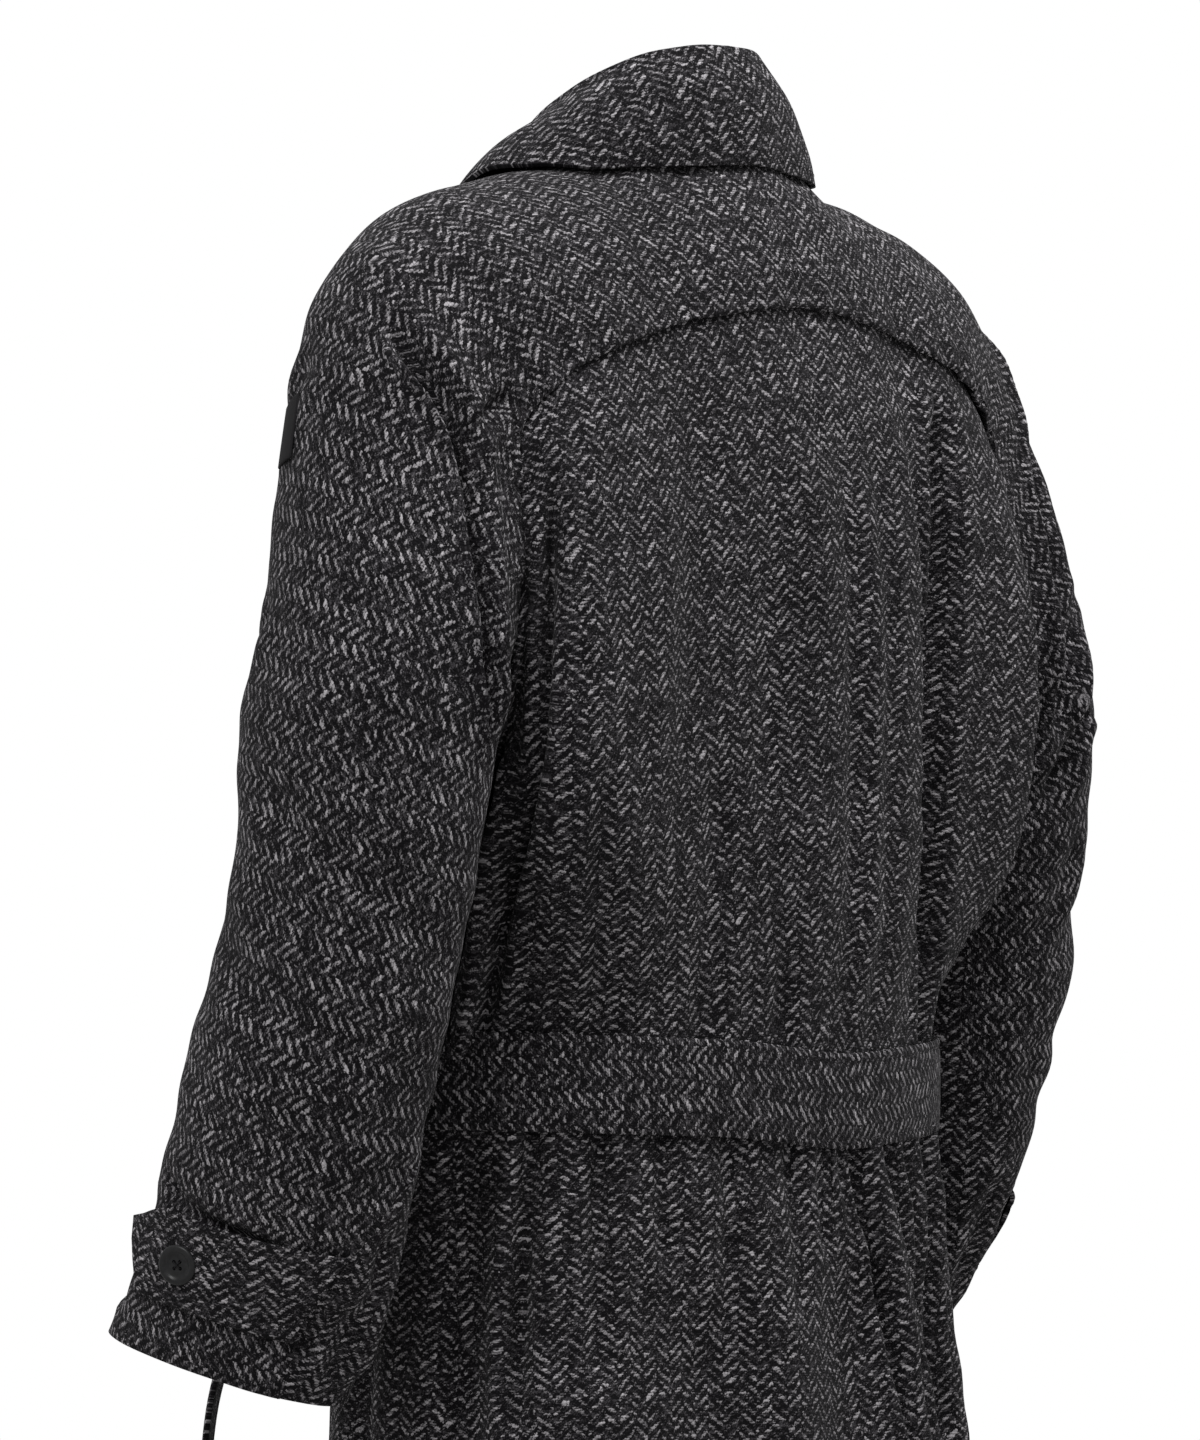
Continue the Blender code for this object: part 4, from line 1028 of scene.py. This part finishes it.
# Creases of the sleeve, the same, with each path of (station, angle) places.
sleeveCreases = {
    "left": [
        (
            [(4.4, 14), (4.65, 34), (4.8, 48), (5.0, 60), (5.3, 68), (5.7, 73), (6.3, 79),
             (6.9, 86), (7.6, 98), (8.5, 112)],
            -11.5, 3.5, 8.5, 0.5,
        ),
        ([(4.6, 20), (5.0, 44), (5.7, 60), (6.6, 72), (7.4, 84)], 3.2, 11, 8, 0.0),
        ([(3.9, 87), (4.2, 83), (4.5, 78), (4.8, 74), (5.1, 69)], -4.5, 4, 5, 0.5),
        ([(8.6, -30), (9.1, 20), (9.7, 70), (10.0, 104)], -3.4, 12, 16, 0.2),
        ([(9.9, -50), (10.4, 10), (10.7, 60), (10.8, 100)], -3.6, 11, 15, 0.25),
        ([(11.4, -30), (11.5, 20), (11.2, 70), (10.9, 110)], -3.2, 11, 15, 0.2),
        ([(11.9, 20), (11.8, 60), (11.4, 100)], -3, 9, 12, 0.2),
        ([(12.1, -46), (12.28, -26), (12.4, 0), (12.46, 30)], -8.5, 5, 7, 0.15),
        ([(13.5, 20), (13.3, 46), (12.9, 70)], -5, 10, 12, 0.3),
        ([(12.2, -70), (12.7, -75), (13.2, -78), (13.7, -80)], -7, 15, 15, 0.0),
        ([(6.5, -40), (7.4, -70), (8.4, -100)], -6, 9, 11, 0.3),
        ([(4.6, -20), (5.2, -60), (6.2, -96)], -5, 8, 11, 0.3),
        ([(9.4, -80), (9.9, -110), (10.3, -140)], -5, 10, 11, 0.3),
    ],
    "right": [
        ([(4.1, 14), (4.6, 40), (5.3, 66), (6.2, 82), (7.2, 96), (8.2, 108)], -10.5, 9, 5, 0.45),
        ([(7.6, 74), (8.1, 90), (8.7, 112)], -10, 6, 9, 0.4),
        ([(6.2, 62), (7.0, 84), (7.6, 106)], -7, 7, 9, 0.35),
        ([(9.0, 74), (9.6, 96), (10.2, 120)], -4, 8, 10, 0.3),
        ([(8.8, -30), (9.3, 20), (9.8, 70), (10.1, 106)], -4, 12, 15, 0.2),
        ([(10.1, -50), (10.5, 10), (10.8, 60), (11.0, 104)], -3.6, 12, 15, 0.2),
        ([(11.5, -30), (11.6, 20), (11.3, 70), (11.0, 110)], -3.2, 12, 15, 0.2),
        ([(12.1, -46), (12.28, -26), (12.4, 0), (12.46, 30)], -8, 5, 7, 0.15),
        ([(6.6, -40), (7.5, -70), (8.5, -100)], -6, 9, 11, 0.3),
        ([(4.7, -20), (5.3, -60), (6.3, -96)], -5, 8, 11, 0.3),
        ([(9.5, -80), (10.0, -110), (10.4, -140)], -5, 10, 11, 0.3),
    ],
}
underCreases = [  # the same under both sleeves
    ([(8.6, 175), (9.2, 180), (9.8, 190)], -6, 10, 12, 0.3),
    ([(10.4, 160), (10.9, 180), (11.4, 196)], -5, 11, 12, 0.3),
    ([(12.0, 90), (12.6, 84), (13.2, 70), (13.8, 64)], -6, 9, 10, 0.3),
    ([(12.4, 125), (13.0, 118), (13.7, 112)], -7, 10, 12, 0.3),
]
for label in sleeveCreases:
    sleeveCreases[label] += underCreases
outerSkin = []  # the left yoke and front as points and normals, for the collar to rest on
yokeEdge = {
    "lap": 0.0075,
    "reaches": (1.0, 0.78, 0.5, 0.25),  # the lap's columns, as shares of it
    "lapBelow": 0.0012,  # what is left of it where it has faded out
    "lift": 0.0048,
    "pucker": 0.25,
    "turn": (2.0, -4.0),  # of the grain, above and below
    "gap": 0.0034,  # between the edge's first and fourth columns
    "eased": 0.22,
}


def makeYokeSleeve(side, label):
    stations = steps(
        (0, 1, 26), (1, 3, 24), (3, 4, 13), (4, 5, 20), (5, 8, 66), (8, 12, 62), (12, 14, 34)
    )
    shares = steps((0, 0.02, 3), (0.02, 0.08, 6), (0.08, 0.5, 52), (0.5, 0.94, 36), (0.94, 1.0, 4))
    points = topSleevePoint(stations[:, None], shares[None, :])
    # the turned edge laps over the back, then fades out down the sleeve
    fade = 1 - ease((stations - 5.2) / 2.0)
    laps = []
    for reach in yokeEdge["reaches"]:
        below = panelPoint(backPanel, backSeam, np.minimum(stations, 8.0), 0.04, side)
        edge = points[:, 0]
        slide = unit(below - edge) * (yokeEdge["lap"] * reach * fade)[:, None]
        beyond = yokeEdge["lapBelow"] * reach * (1 - fade)
        past = unit(points[:, 0] - points[:, 1]) * beyond[:, None]
        laps.append(edge + slide + past)
    sheetPoints = np.concatenate([np.stack(laps, 1), points], 1)
    flat, area = flattened(points)
    # the lap's own cloth goes on past the edge, and settles to its width with the rest
    onward = (flat[:, 0] - flat[:, 3]) * yokeEdge["lap"] * yokeEdge["eased"] / yokeEdge["gap"]
    extra = np.stack([flat[:, 0] + onward * reach for reach in yokeEdge["reaches"]], 1)
    nape = int(np.argmin(np.abs(shares - coat["neckShare"])))
    flat = np.concatenate([extra, flat], 1)
    # laid out from inside, so it is turned over
    flat = onGrain(flat, flat[0, nape + 4], flat[0, 4]) * np.array((-1, 1))
    turnHigh, turnLow = yokeEdge["turn"]
    turns = turnHigh + (turnLow - turnHigh) * ease((stations - 3) / 4)
    flat = bentGrain(flat, len(shares) // 2, turns)
    sheetPoints, flat = sheetPoints[:, ::-1], flat[:, ::-1]
    count = sheetPoints.shape[1]
    fromEdge = (count - 1 - np.arange(count)).astype(float)
    rise = np.interp(fromEdge, [0, 1, 4, 7, 10, 14], [0.62, 1, 1, 0.8, 0.4, 0])
    top = np.minimum(stations, 8.2)[None, ::-1]
    back = outwardOf(panelPoint(backPanel, backSeam, top, np.array([[0], [0.04]]), side))
    outward = outwardOf(sheetPoints)
    outward[:, -4:] = back[0, ::-1][:, None]
    run = cumulative(points[:, :1], 0)
    pucker = np.sin(run * 400) * np.sin(run * 173 + 1) + 0.6 * np.sin(run * 251 + 2)
    lift = yokeEdge["lift"] * rise[None, :] * (fade * (1 + yokeEdge["pucker"] * pucker))[:, None]
    lift[:, -5:] = np.maximum(lift[:, -5:], 0.0003)
    sheetPoints = sheetPoints + outward * lift[..., None]
    sheetPoints = creased(rippled(sheetPoints, side), sleeveCreases[label], sleevePoint, 1)
    # creases of the back run on into the sleeve where they cross the seam
    close = 1 - ease((count - 1 - np.arange(count) - 4) / 14)
    crossing = ease((stations - 2.5) / 1.0) * (1 - ease((stations - 7.6) / 0.4))
    share = close[None, :] * crossing[:, None]
    sheetPoints = creased(sheetPoints, bodyCreases[label], bodyForCreases, side, share)
    flat = takenUp(flat, sheetPoints)
    napeSide = sheetPoints[0, :, 0]
    sheetPoints[0, :, 0] = np.where(napeSide < 0.004, -0.0001, napeSide)
    if side > 0:
        outerSkin.append((sheetPoints.reshape(-1, 3), outwardOf(sheetPoints).reshape(-1, 3)))
    name = f"yoke_top_sleeve_{label}_tweed"
    obj = clothPiece(name, sheetPoints, flat, side, inner=lining, fold=0.0005)
    sewn(obj, f"yoke_top_sleeve_{label}", flat, area)
    stitched = stations < 6
    sunk = sheetPoints[stitched, -9] + outward[stitched, -9] * stitch["sunk"]
    stitchLine(f"yoke_stitching_{label}", [sunk], side=side)


def makeUnderSleeve(side, label):
    stations = steps((8, 12, 50), (12, 14, 24))
    row = read(sleeveRings, stations)
    share = np.linspace(0, 1, 48)
    angles = row.seamBack[:, None] + (360 + row.seamFront - row.seamBack)[:, None] * share[None, :]
    points = sleevePoint(np.broadcast_to(stations[:, None], angles.shape), angles)
    for edge, inside in ((0, 1), (-1, -2)):
        points[:, edge] += unit(points[:, inside] - points[:, edge]) * 0.0004
    points[0] += unit(points[1] - points[0]) * 0.0005
    flat, area = flattened(points)
    flat = onGrain(flat, flat[0, 24], flat[-1, 24])
    points = creased(rippled(points, side), sleeveCreases[label], sleevePoint, 1)
    flat = takenUp(flat, points)
    obj = clothPiece(f"under_sleeve_{label}_tweed", points, flat, side, inner=lining)
    sewn(obj, f"under_sleeve_{label}", flat, area)


for side, label in ((1, "left"), (-1, "right")):
    makeBack(side, label)
    makeFront(side, label)
    makeYokeSleeve(side, label)
    makeUnderSleeve(side, label)
print("panels and sleeves made")

collarCloth = {
    "wall": 0.0030,
    "columns": 100,
    "rows": 46,
    "foldRow": 22,
    "above": 0.0048,  # how high its edge lies over the skin of the yoke and front
    "turn": -10.0,
}


def makeCollar():
    angles = np.linspace(-86, 90, collarCloth["columns"])
    row = read(collarRing, angles)
    turn = np.radians(angles)
    out = vec(np.cos(turn), np.sin(turn), 0)
    foot = neckPoint(angles) + np.array((0, 0, 0.0006)) - out * 0.0001
    top = out * row.foldRadius[:, None] + vec(0, 0, row.foldRise)
    edge = vec(row.edgeX, row.edgeY, -row.edgeDrop)
    fall = edge - top
    down = np.array((0, 0, -1))
    spine = [foot, foot * 0.5 + top * 0.5 - out * 0.002, top - out * 0.0045 + down * 0.006, top]
    spine.append(top + out * 0.005 + down * 0.005)
    for t in (0.35, 0.7, 1.0):
        bow = 0.006 * math.sin(math.pi * t)
        spine.append(top + out * 0.004 + (fall - out * 0.004) * t + out * bow)
    spine = np.stack(spine)
    lines = np.stack([smoothPath(spine[:, k], collarCloth["rows"]) for k in range(len(angles))], 1)
    # the fall rests on the yoke and the fronts
    skin = np.concatenate([points for points, _ in outerSkin])
    above = np.concatenate([normals for _, normals in outerSkin])
    close = [int(np.argmin(((skin - p) ** 2).sum(1))) for p in lines[-1]]
    gap = ((lines[-1] - skin[close]) * above[close]).sum(1) - collarCloth["above"]
    drop = above[close] * np.clip(gap, -0.002, 0.012)[:, None]
    padded = np.concatenate([drop[8:0:-1], drop, drop[-2:-10:-1]])
    drop = np.stack([padded[k : k + len(angles)] for k in range(17)]).mean(0)
    below = np.arange(collarCloth["rows"]) - collarCloth["foldRow"]
    fallen = np.clip(below / below[-1], 0, 1) ** 1.5
    lines = lines - drop[None] * fallen[:, None, None]
    right = (lines * np.array((-1, 1, 1)))[:, -2::-1]
    points = np.concatenate([lines, right], 1)
    flat, area = flattened(points)
    middle = points.shape[1] // 2
    flat = onGrain(flat, flat[26, middle], flat[-1, middle])
    flat = bentGrain(flat, middle, np.full(len(flat), collarCloth["turn"]))
    points = rippled(points, 1, 0.0007)
    obj = clothPiece("collar_tweed", points, flat, wall=collarCloth["wall"])
    sewn(obj, "collar", flat, area)
    stitchLine("collar_stitching", [points[-3] + outwardOf(points)[-3] * stitch["sunk"]])


makeCollar()

belt = {
    "width": 0.056,
    "thick": 0.0045,
    "off": 0.0018,
    "tilt": 0.007,
    "sag": 0.008,
    "sagAngle": 98,
    "grainStart": 0.0048,
    "across": (0.5, 0.485, 0.44, 0.40, 0.36, 0.2, 0, -0.2, -0.36, -0.40, -0.44, -0.485, -0.5),
    "puff": (-0.9, 0.0, 0.5, -0.1, 0.5, 0.7, 0.8, 0.7, 0.5, -0.1, 0.5, 0.0, -0.9),  # mm
    "rows": (3, 9),  # which lines of "across" are stitched
}


def beltPoint(angle, off):
    waist = coat["waist"]
    point, row = bodyPoint(angle, waist), read(bodyRings, waist)
    flatOut = unit(vec(point[..., 0] / row.side**2, point[..., 1] / row.back**2, 0))
    lift = coat["overlapLift"] * ease((-point[..., 1] - coat["overlapStart"]) / 0.014)
    # it hangs lower on the wearer's right, and sags across the back
    hang = belt["tilt"] * np.cos(np.radians(angle))
    hang = hang - belt["sag"] * np.exp(-((((angle + 90) % 360 - 90 - belt["sagAngle"]) / 38) ** 2))
    return point + flatOut * (off + lift)[..., None] + vec(0, 0, hang)


def beltBand(path, across, outward):
    # a band with soft edges and two sunk rows of stitching, its cut, and the cut's area
    width, heights = belt["width"], np.array(belt["across"])
    offs = np.array(belt["puff"]) * 0.001 - 0.0005
    points = np.stack([path + across * width * h + outward * off for h, off in zip(heights, offs)])
    length = cumulative(points, 1)
    cut = np.broadcast_arrays(belt["grainStart"] - heights[:, None] * width, length[None, :])
    return points, np.stack(cut, -1), float(length[-1] * width)


def makeBelt():
    angles = np.linspace(0, 360, 361)
    path = beltPoint(angles, np.full(361, belt["off"] + belt["thick"]))
    outward = unit(np.cross(np.gradient(path, axis=0), np.array((0, 0, 1.0))))
    turn = np.radians(angles)
    sway = 0.0008 * np.sin(3 * turn + 0.6) + 0.0005 * np.sin(7 * turn)
    path = path + vec(0, 0, sway)
    points, flat, area = beltBand(path, np.array((0, 0, 1.0)), outward)
    obj = clothPiece("belt_tweed", points, flat, wall=belt["thick"] - 0.001, closed=True)
    sewn(obj, "belt", flat, area)
    stitchLine("belt_stitching", [points[row, :-1] for row in belt["rows"]], closed=True)


def makeBeltEnd():
    off = belt["off"] + 2 * belt["thick"] + 0.0005
    path = [beltPoint(np.array(a), np.array(off)) for a in (-90, -82.5, -75, -67.5, -60, -56)]
    out = np.array((0.38, -0.925, 0))
    hang = ((0.006, 0.010, 0.0), (0.014, 0.022, -0.025), (0.024, 0.042, -0.075))
    hang += ((0.036, 0.062, -0.13), (0.046, 0.078, -0.19), (0.050, 0.084, -0.26))
    path += [path[-1] + np.array((x, 0, z)) + out * away for x, away, z in hang]
    across = []
    for k in range(len(path)):
        turn = float(ease((k - 5) / 3))
        across.append(np.array((0, 0, 1)) * (1 - turn) + np.array((0.79, 0.61, 0.15)) * turn)
    path, across = smoothPath(path, 110), unit(smoothPath(across, 110))
    outward = unit(np.cross(np.gradient(path, axis=0), across))
    points, flat, area = beltBand(path, across, outward)
    obj = clothPiece("belt_end_tweed", points, flat, wall=belt["thick"] - 0.001)
    sewn(obj, "belt_end", flat, area)
    stitchLine("belt_end_stitching", [points[row] for row in belt["rows"]])


buckle = {"bar": 0.0035, "corner": 0.007}


def makeBuckle():
    low, high = [np.array(c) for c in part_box("belt_buckle")]
    middle, half = (low + high) / 2, (high - low) / 2
    bar, corner = buckle["bar"], buckle["corner"]
    ring = []
    for quarter, (sx, sz) in enumerate(((1, 1), (-1, 1), (-1, -1), (1, -1))):
        turn = np.radians(90 * quarter + np.linspace(0, 90, 9))
        x = middle[0] + sx * (half[0] - bar - corner) + corner * np.cos(turn)
        z = middle[2] + sz * (half[2] - bar - corner) + corner * np.sin(turn)
        ring.append(vec(x, middle[1], z))
    tube = {"bevel_depth": bar, "bevel_resolution": 5}
    obj = fromCurve("belt_buckle_leather", [np.concatenate(ring)], True, **tube)
    attach(obj, "belt_buckle", leather)


makeBelt()
makeBeltEnd()
makeBuckle()
print("collar and belt made")

strap = {
    "width": 0.048,
    "thick": 0.0036,
    "station": 12.81,  # of its middle line
    "stationLength": 0.0475,
    "tip": -62.0,  # angle
    "point": -0.2,  # where the tip is across the width
    "taper": (30, 22),  # degrees from the tip to each corner
    "curl": 0.0015,
    "button": -18.0,
    "across": (-0.5, -0.48, -0.43, -0.38, -0.33, -0.2, 0, 0.2, 0.33, 0.38, 0.43, 0.48, 0.5),
    "puff": (-1.2, -0.3, 0.2, -0.3, 0.2, 0.3, 0.3, 0.3, 0.2, -0.3, 0.2, -0.3, -1.2),  # mm
    "rows": (3, 9),
}


def makeStrap(side, label):
    along = steps((1.0, 0.84, 18), (0.84, 0.0, 62))
    heights, puff = np.array(strap["across"]), np.array(strap["puff"]) * 0.001
    point, (taperLow, taperHigh) = strap["point"], strap["taper"]
    stations = strap["station"] + heights * strap["width"] / strap["stationLength"]
    start = read(sleeveRings, stations).seamBack - 1.5
    over, under = np.maximum(point - heights, 0), np.maximum(heights - point, 0)
    end = strap["tip"] + taperLow * over / (point + 0.5) + taperHigh * under / (0.5 - point)
    angles = start[:, None] + (end - start)[:, None] * along[None, :]
    points = sleevePoint(np.broadcast_to(stations[:, None], angles.shape), angles)
    flat, area = flattened(points)
    flat = onGrain(flat, flat[6, -1], flat[6, 0])[..., ::-1] * np.array((-1, 1))
    stiff = strap["thick"] + 0.0010 + strap["curl"] * ease(1 - 4 * (1 - along))
    points = points + outwardOf(points) * (stiff[None, :] + puff[:, None])[..., None]
    points = rippled(points, side, 0.0006)
    wall = strap["thick"] - 0.0008
    obj = clothPiece(f"cuff_strap_{label}_tweed", points, flat, side, wall=wall)
    sewn(obj, f"cuff_strap_{label}", flat, area)
    lines = [points[row, 4:] for row in strap["rows"]]
    stitchLine(f"cuff_strap_stitching_{label}", lines, side=side)
    return outwardOf(points)[6, int(np.argmin(np.abs(angles[6] - strap["button"])))]


button = {
    "radius": 0.0115,
    "thick": 0.0036,
    "sides": 56,
    "holeOff": 0.001872,
    "hole": 0.0011,
    "holeSides": 14,
    "thread": 0.00035,
    "lean": 0.25,
    # its turned outline from the middle of the face round to the middle of the back, as shares
    # of the radius and the thickness
    "face": ((0, 0.10), (0.25, 0.10), (0.46, 0.10), (0.58, 0.14), (0.66, 0.30), (0.72, 0.46)),
    "rim": ((0.79, 0.50), (0.90, 0.47), (0.97, 0.34), (1.0, 0.12), (0.97, -0.16)),
    "back": ((0.86, -0.40), (0.6, -0.49), (0, -0.5)),
}


def makeHoles(spots):
    # round rods, to be cut out of the button
    count = button["holeSides"]
    turn = 2 * math.pi * np.arange(count) / count
    verts, faces = [], []
    for x, y in spots:
        base = len(verts)
        for z in (-0.005, 0.005):
            rim = vec(x + button["hole"] * np.cos(turn), y + button["hole"] * np.sin(turn), z)
            verts += rim.tolist()
        low, high = [base + k for k in range(count)], [base + count + k for k in range(count)]
        faces += [low[::-1], high]
        for k in range(count):
            after = (k + 1) % count
            faces.append([low[k], low[after], high[after], high[k]])
    mesh = bpy.data.meshes.new("holes")
    mesh.from_pydata(verts, [], faces)
    obj = bpy.data.objects.new("holes", mesh)
    scene.collection.objects.link(obj)
    return obj


def makeButton(name, node, outward, side=1):
    # a four-hole turned button: raised rim, dished face, holes and thread
    low, high = [np.array(c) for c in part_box(node)]
    profile = button["face"] + button["rim"] + button["back"]
    mesh = bpy.data.meshes.new(name)
    verts = [(r * button["radius"], 0, z * button["thick"]) for r, z in profile]
    mesh.from_pydata(verts, [(k, k + 1) for k in range(len(verts) - 1)], [])
    obj = bpy.data.objects.new(name, mesh)
    scene.collection.objects.link(obj)
    screw = obj.modifiers.new("turned", "SCREW")
    screw.steps = screw.render_steps = button["sides"]
    screw.use_merge_vertices = True
    screw.merge_threshold = 0.00001
    plainMesh(obj)
    off = button["holeOff"]
    holes = makeHoles(((off, off), (-off, off), (-off, -off), (off, -off)))
    cut = obj.modifiers.new("holes", "BOOLEAN")
    cut.object = holes
    cut.solver = "EXACT"
    cut.operation = "DIFFERENCE"
    plainMesh(obj)
    bpy.data.objects.remove(holes)
    obj.data.shade_smooth()
    obj.data.set_sharp_from_angle(angle=math.radians(40))
    turned = Vector(outward * np.array((side, 1, 1))).to_track_quat("Z", "Y").to_matrix().to_4x4()
    turned.translation = Vector((low + high) / 2)
    obj.data.transform(turned)
    attach(obj, node, horn)
    cross = []
    for sx in (1, -1):
        line = [(sx * off, off, -0.0006), (sx * off, off, 0.0009), (0, 0, 0.0011)]
        line += [(-sx * off, -off, 0.0009), (-sx * off, -off, -0.0006)]
        cross.append([list(turned @ Vector(p)) for p in smoothPath(line, 14)])
    tube = {"bevel_depth": button["thread"], "bevel_resolution": 2, "use_fill_caps": True}
    thread = fromCurve(f"{name}_thread", cross, **tube)
    attach(thread, material=blackThread)


for side, label in ((1, "left"), (-1, "right")):
    outward = unit(makeStrap(side, label) + np.array((0, button["lean"], 0)))
    makeButton(f"cuff_button_{label}_horn", f"cuff_button_{label}", outward, side)
for number, lean in enumerate((0.24, 0.06, 0.0, 0.2), start=1):
    outward = unit(np.array((0, -1, lean)))
    makeButton(f"front_button_{number}_horn", f"front_button_{number}", outward)


tab = {"stations": (4.95, 5.45), "angles": (-44, -26), "proud": 0.0024, "thick": 0.0016}


def makePatch():
    stations, angles = np.linspace(*tab["stations"], 16), np.linspace(*tab["angles"], 14)
    points = sleevePoint(*np.meshgrid(stations, angles, indexing="ij"))
    flat, area = flattened(points)
    flat = onGrain(flat, flat[0, 7], flat[-1, 7])
    points = points + outwardOf(points) * tab["proud"]
    obj = clothPiece("sleeve_patch_tab", points, flat, wall=tab["thick"])
    obj.data.materials[0] = makeThread("wovenTab", "#131214")
    sewn(obj, "sleeve_patch", flat, area)


makePatch()
print("straps, buttons and tab made")

# Stage: a pale floor under the coat, soft light from above and from the viewer's side.
stage = {
    "floorDrop": 1.5,
    "floorRadius": 4.2,
    "azimuth": 128.0,
    "distance": 4.3,
    "height": -0.342,
    "shift": -0.0214,
    "lens": 180.67,
    "roomLight": 0.68,
}


def makeFloor():
    mesh = bpy.data.meshes.new("floor")
    turn, radius = 2 * math.pi * np.arange(96) / 96, stage["floorRadius"]
    ring = vec(radius * np.cos(turn), radius * np.sin(turn), -stage["floorDrop"])
    mesh.from_pydata(ring.tolist(), [], [list(range(96))])
    floor = bpy.data.objects.new("floor", mesh)
    scene.collection.objects.link(floor)
    made, tree, shader = newMaterial("paleFloor")
    setInputs(shader, {"Base Color": toLinear("#b9b8b6"), "Roughness": 0.7})
    mesh.materials.append(made)


def addLight(name, location, target, size, watts):
    data = bpy.data.lights.new(name, "AREA")
    data.shape = "DISK"
    data.size = size
    data.energy = watts
    light = bpy.data.objects.new(name, data)
    light.location = location
    light.rotation_mode = "QUATERNION"
    light.rotation_quaternion = (Vector(target) - Vector(location)).to_track_quat("-Z", "Y")
    scene.collection.objects.link(light)


makeFloor()
scene.view_settings.view_transform = "Standard"
world = bpy.data.worlds.new("paleRoom")
world.use_nodes = True
# the room looks white, but gives less light than it shows
seen = addNode(world.node_tree, "ShaderNodeLightPath").outputs["Is Camera Ray"]
seen = {"Value": seen, "To Min": stage["roomLight"]}
strength = addNode(world.node_tree, "ShaderNodeMapRange", seen)
background = {"Color": (1, 1, 1, 1), "Strength": strength}
setInputs(world.node_tree.nodes["Background"], background)
scene.world = world
addLight("overhead", (-0.3, 1.0, 2.0), (0, 0, 0.05), 1.1, 55)
addLight("leftSide", (2.9, 0.5, 1.9), (0, 0, -0.1), 1.3, 66)

cameraData = bpy.data.cameras.new("camera")
cameraData.lens = stage["lens"]
camera = bpy.data.objects.new("camera", cameraData)
turn = math.radians(stage["azimuth"] - 90)
toCamera = Vector((math.cos(turn), math.sin(turn), 0))
right = Vector((-toCamera.y, toCamera.x, 0))
camera.location = toCamera * stage["distance"] + right * stage["shift"]
camera.location.z = stage["height"]
camera.rotation_mode = "QUATERNION"
camera.rotation_quaternion = (-toCamera).to_track_quat("-Z", "Y")
scene.collection.objects.link(camera)
scene.camera = camera
